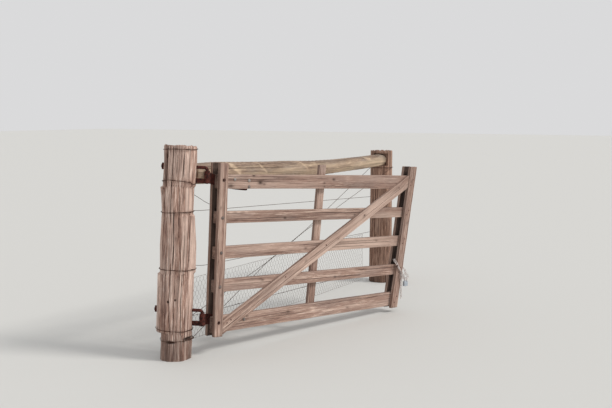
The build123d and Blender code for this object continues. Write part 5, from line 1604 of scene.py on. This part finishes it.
def lock_layer(low, high, soft=0.0006):
    """Slab of the padlock between two depths: its rounded outline carried through, its edges bevelled."""
    depth = np.array([low, low + soft, high - soft, high])[:, None]
    shrink = 2 * np.array([soft, 0, 0, soft])[:, None]
    a, b = rounded_section(np.arange(48) / 48, LOCK_WIDTH - shrink, LOCK_HEIGHT - shrink, 0.007)
    return shell(lock_middle + a[..., None] * ALONG + b[..., None] * UP + depth[..., None] * V_DIR)


edges = np.linspace(-LOCK_THICK / 2, LOCK_THICK / 2, 6)
lock_skins = [lock_layer(low, high) for low, high in zip(edges, edges[1:])]
# rivets through the slabs, and the keyway's boss on the underside
RIVET, RIVET_X, RIVET_Z = [(0.0026, -0.0002), (0.0024, 0.0004), (0.0012, 0.0009)], 0.016, 0.015
KEYWAY = [(0.0062, -0.001), (0.0062, 0.0006), (0.0054, 0.0010), (0.0010, 0.0010)]
lock_skins += [turned(lock_middle + ALONG * x + UP * z + V_DIR * side * LOCK_THICK / 2,
                      V_DIR * side, UP, RIVET, 12)
               for x in (-RIVET_X, RIVET_X) for z in (-RIVET_Z, RIVET_Z) for side in (-1, 1)]
lock_skins.append(turned(lock_middle - UP * (LOCK_HEIGHT / 2 - 0.0004), -UP, ALONG, KEYWAY, 20))
make_piece("padlock_case", lock_skins, "leaf", LOCK_STEEL, "padlock_body", sharp=40)

# Camera, light and floor

EYE = Vector((-4.4862, -3.8348, 1.72))
LOOK_BEARING = math.atan2(0.5225, 0.8526)
LOOK_DOWN = math.radians(6.18)
SUN_BEARING, SUN_HEIGHT = math.radians(-72), math.radians(42)

scene = bpy.context.scene
camera_data = bpy.data.cameras.new("eye")
camera_data.lens, camera_data.sensor_width = 50, 36
camera = bpy.data.objects.new("eye", camera_data)
camera.location = EYE
camera.rotation_euler = (math.radians(90) - LOOK_DOWN, 0, LOOK_BEARING - math.radians(90))
scene.collection.objects.link(camera)
scene.camera = camera
scene.view_settings.view_transform = "Standard"

world = bpy.data.worlds.new("studio")
scene.world = world
world.use_nodes = True
sky = world.node_tree.nodes["Background"].inputs
sky["Color"].default_value = (0.975, 0.975, 0.985, 1)
sky["Strength"].default_value = 0.72

sun_data = bpy.data.lights.new("soft_sun", "SUN")
sun_data.energy = 1.8
sun_data.angle = math.radians(16)
sun_data.color = (1.0, 0.965, 0.92)
sun = bpy.data.objects.new("soft_sun", sun_data)
level = math.cos(SUN_HEIGHT)
toward = Vector((level * math.cos(SUN_BEARING), level * math.sin(SUN_BEARING), math.sin(SUN_HEIGHT)))
sun.rotation_euler = toward.to_track_quat("Z", "Y").to_euler()
scene.collection.objects.link(sun)

floor_mesh = bpy.data.meshes.new("studio_floor")
floor_mesh.from_pydata([(-60, -60, 0), (60, -60, 0), (60, 60, 0), (-60, 60, 0)], [], [(0, 1, 2, 3)])
floor = bpy.data.objects.new("studio_floor", floor_mesh)
pale = Finish("pale_floor")
pale.fill(pale.tree.nodes["Principled BSDF"], {"Base Color": (0.62, 0.62, 0.60, 1), "Roughness": 0.9})
floor_mesh.materials.append(pale.material)
scene.collection.objects.link(floor)
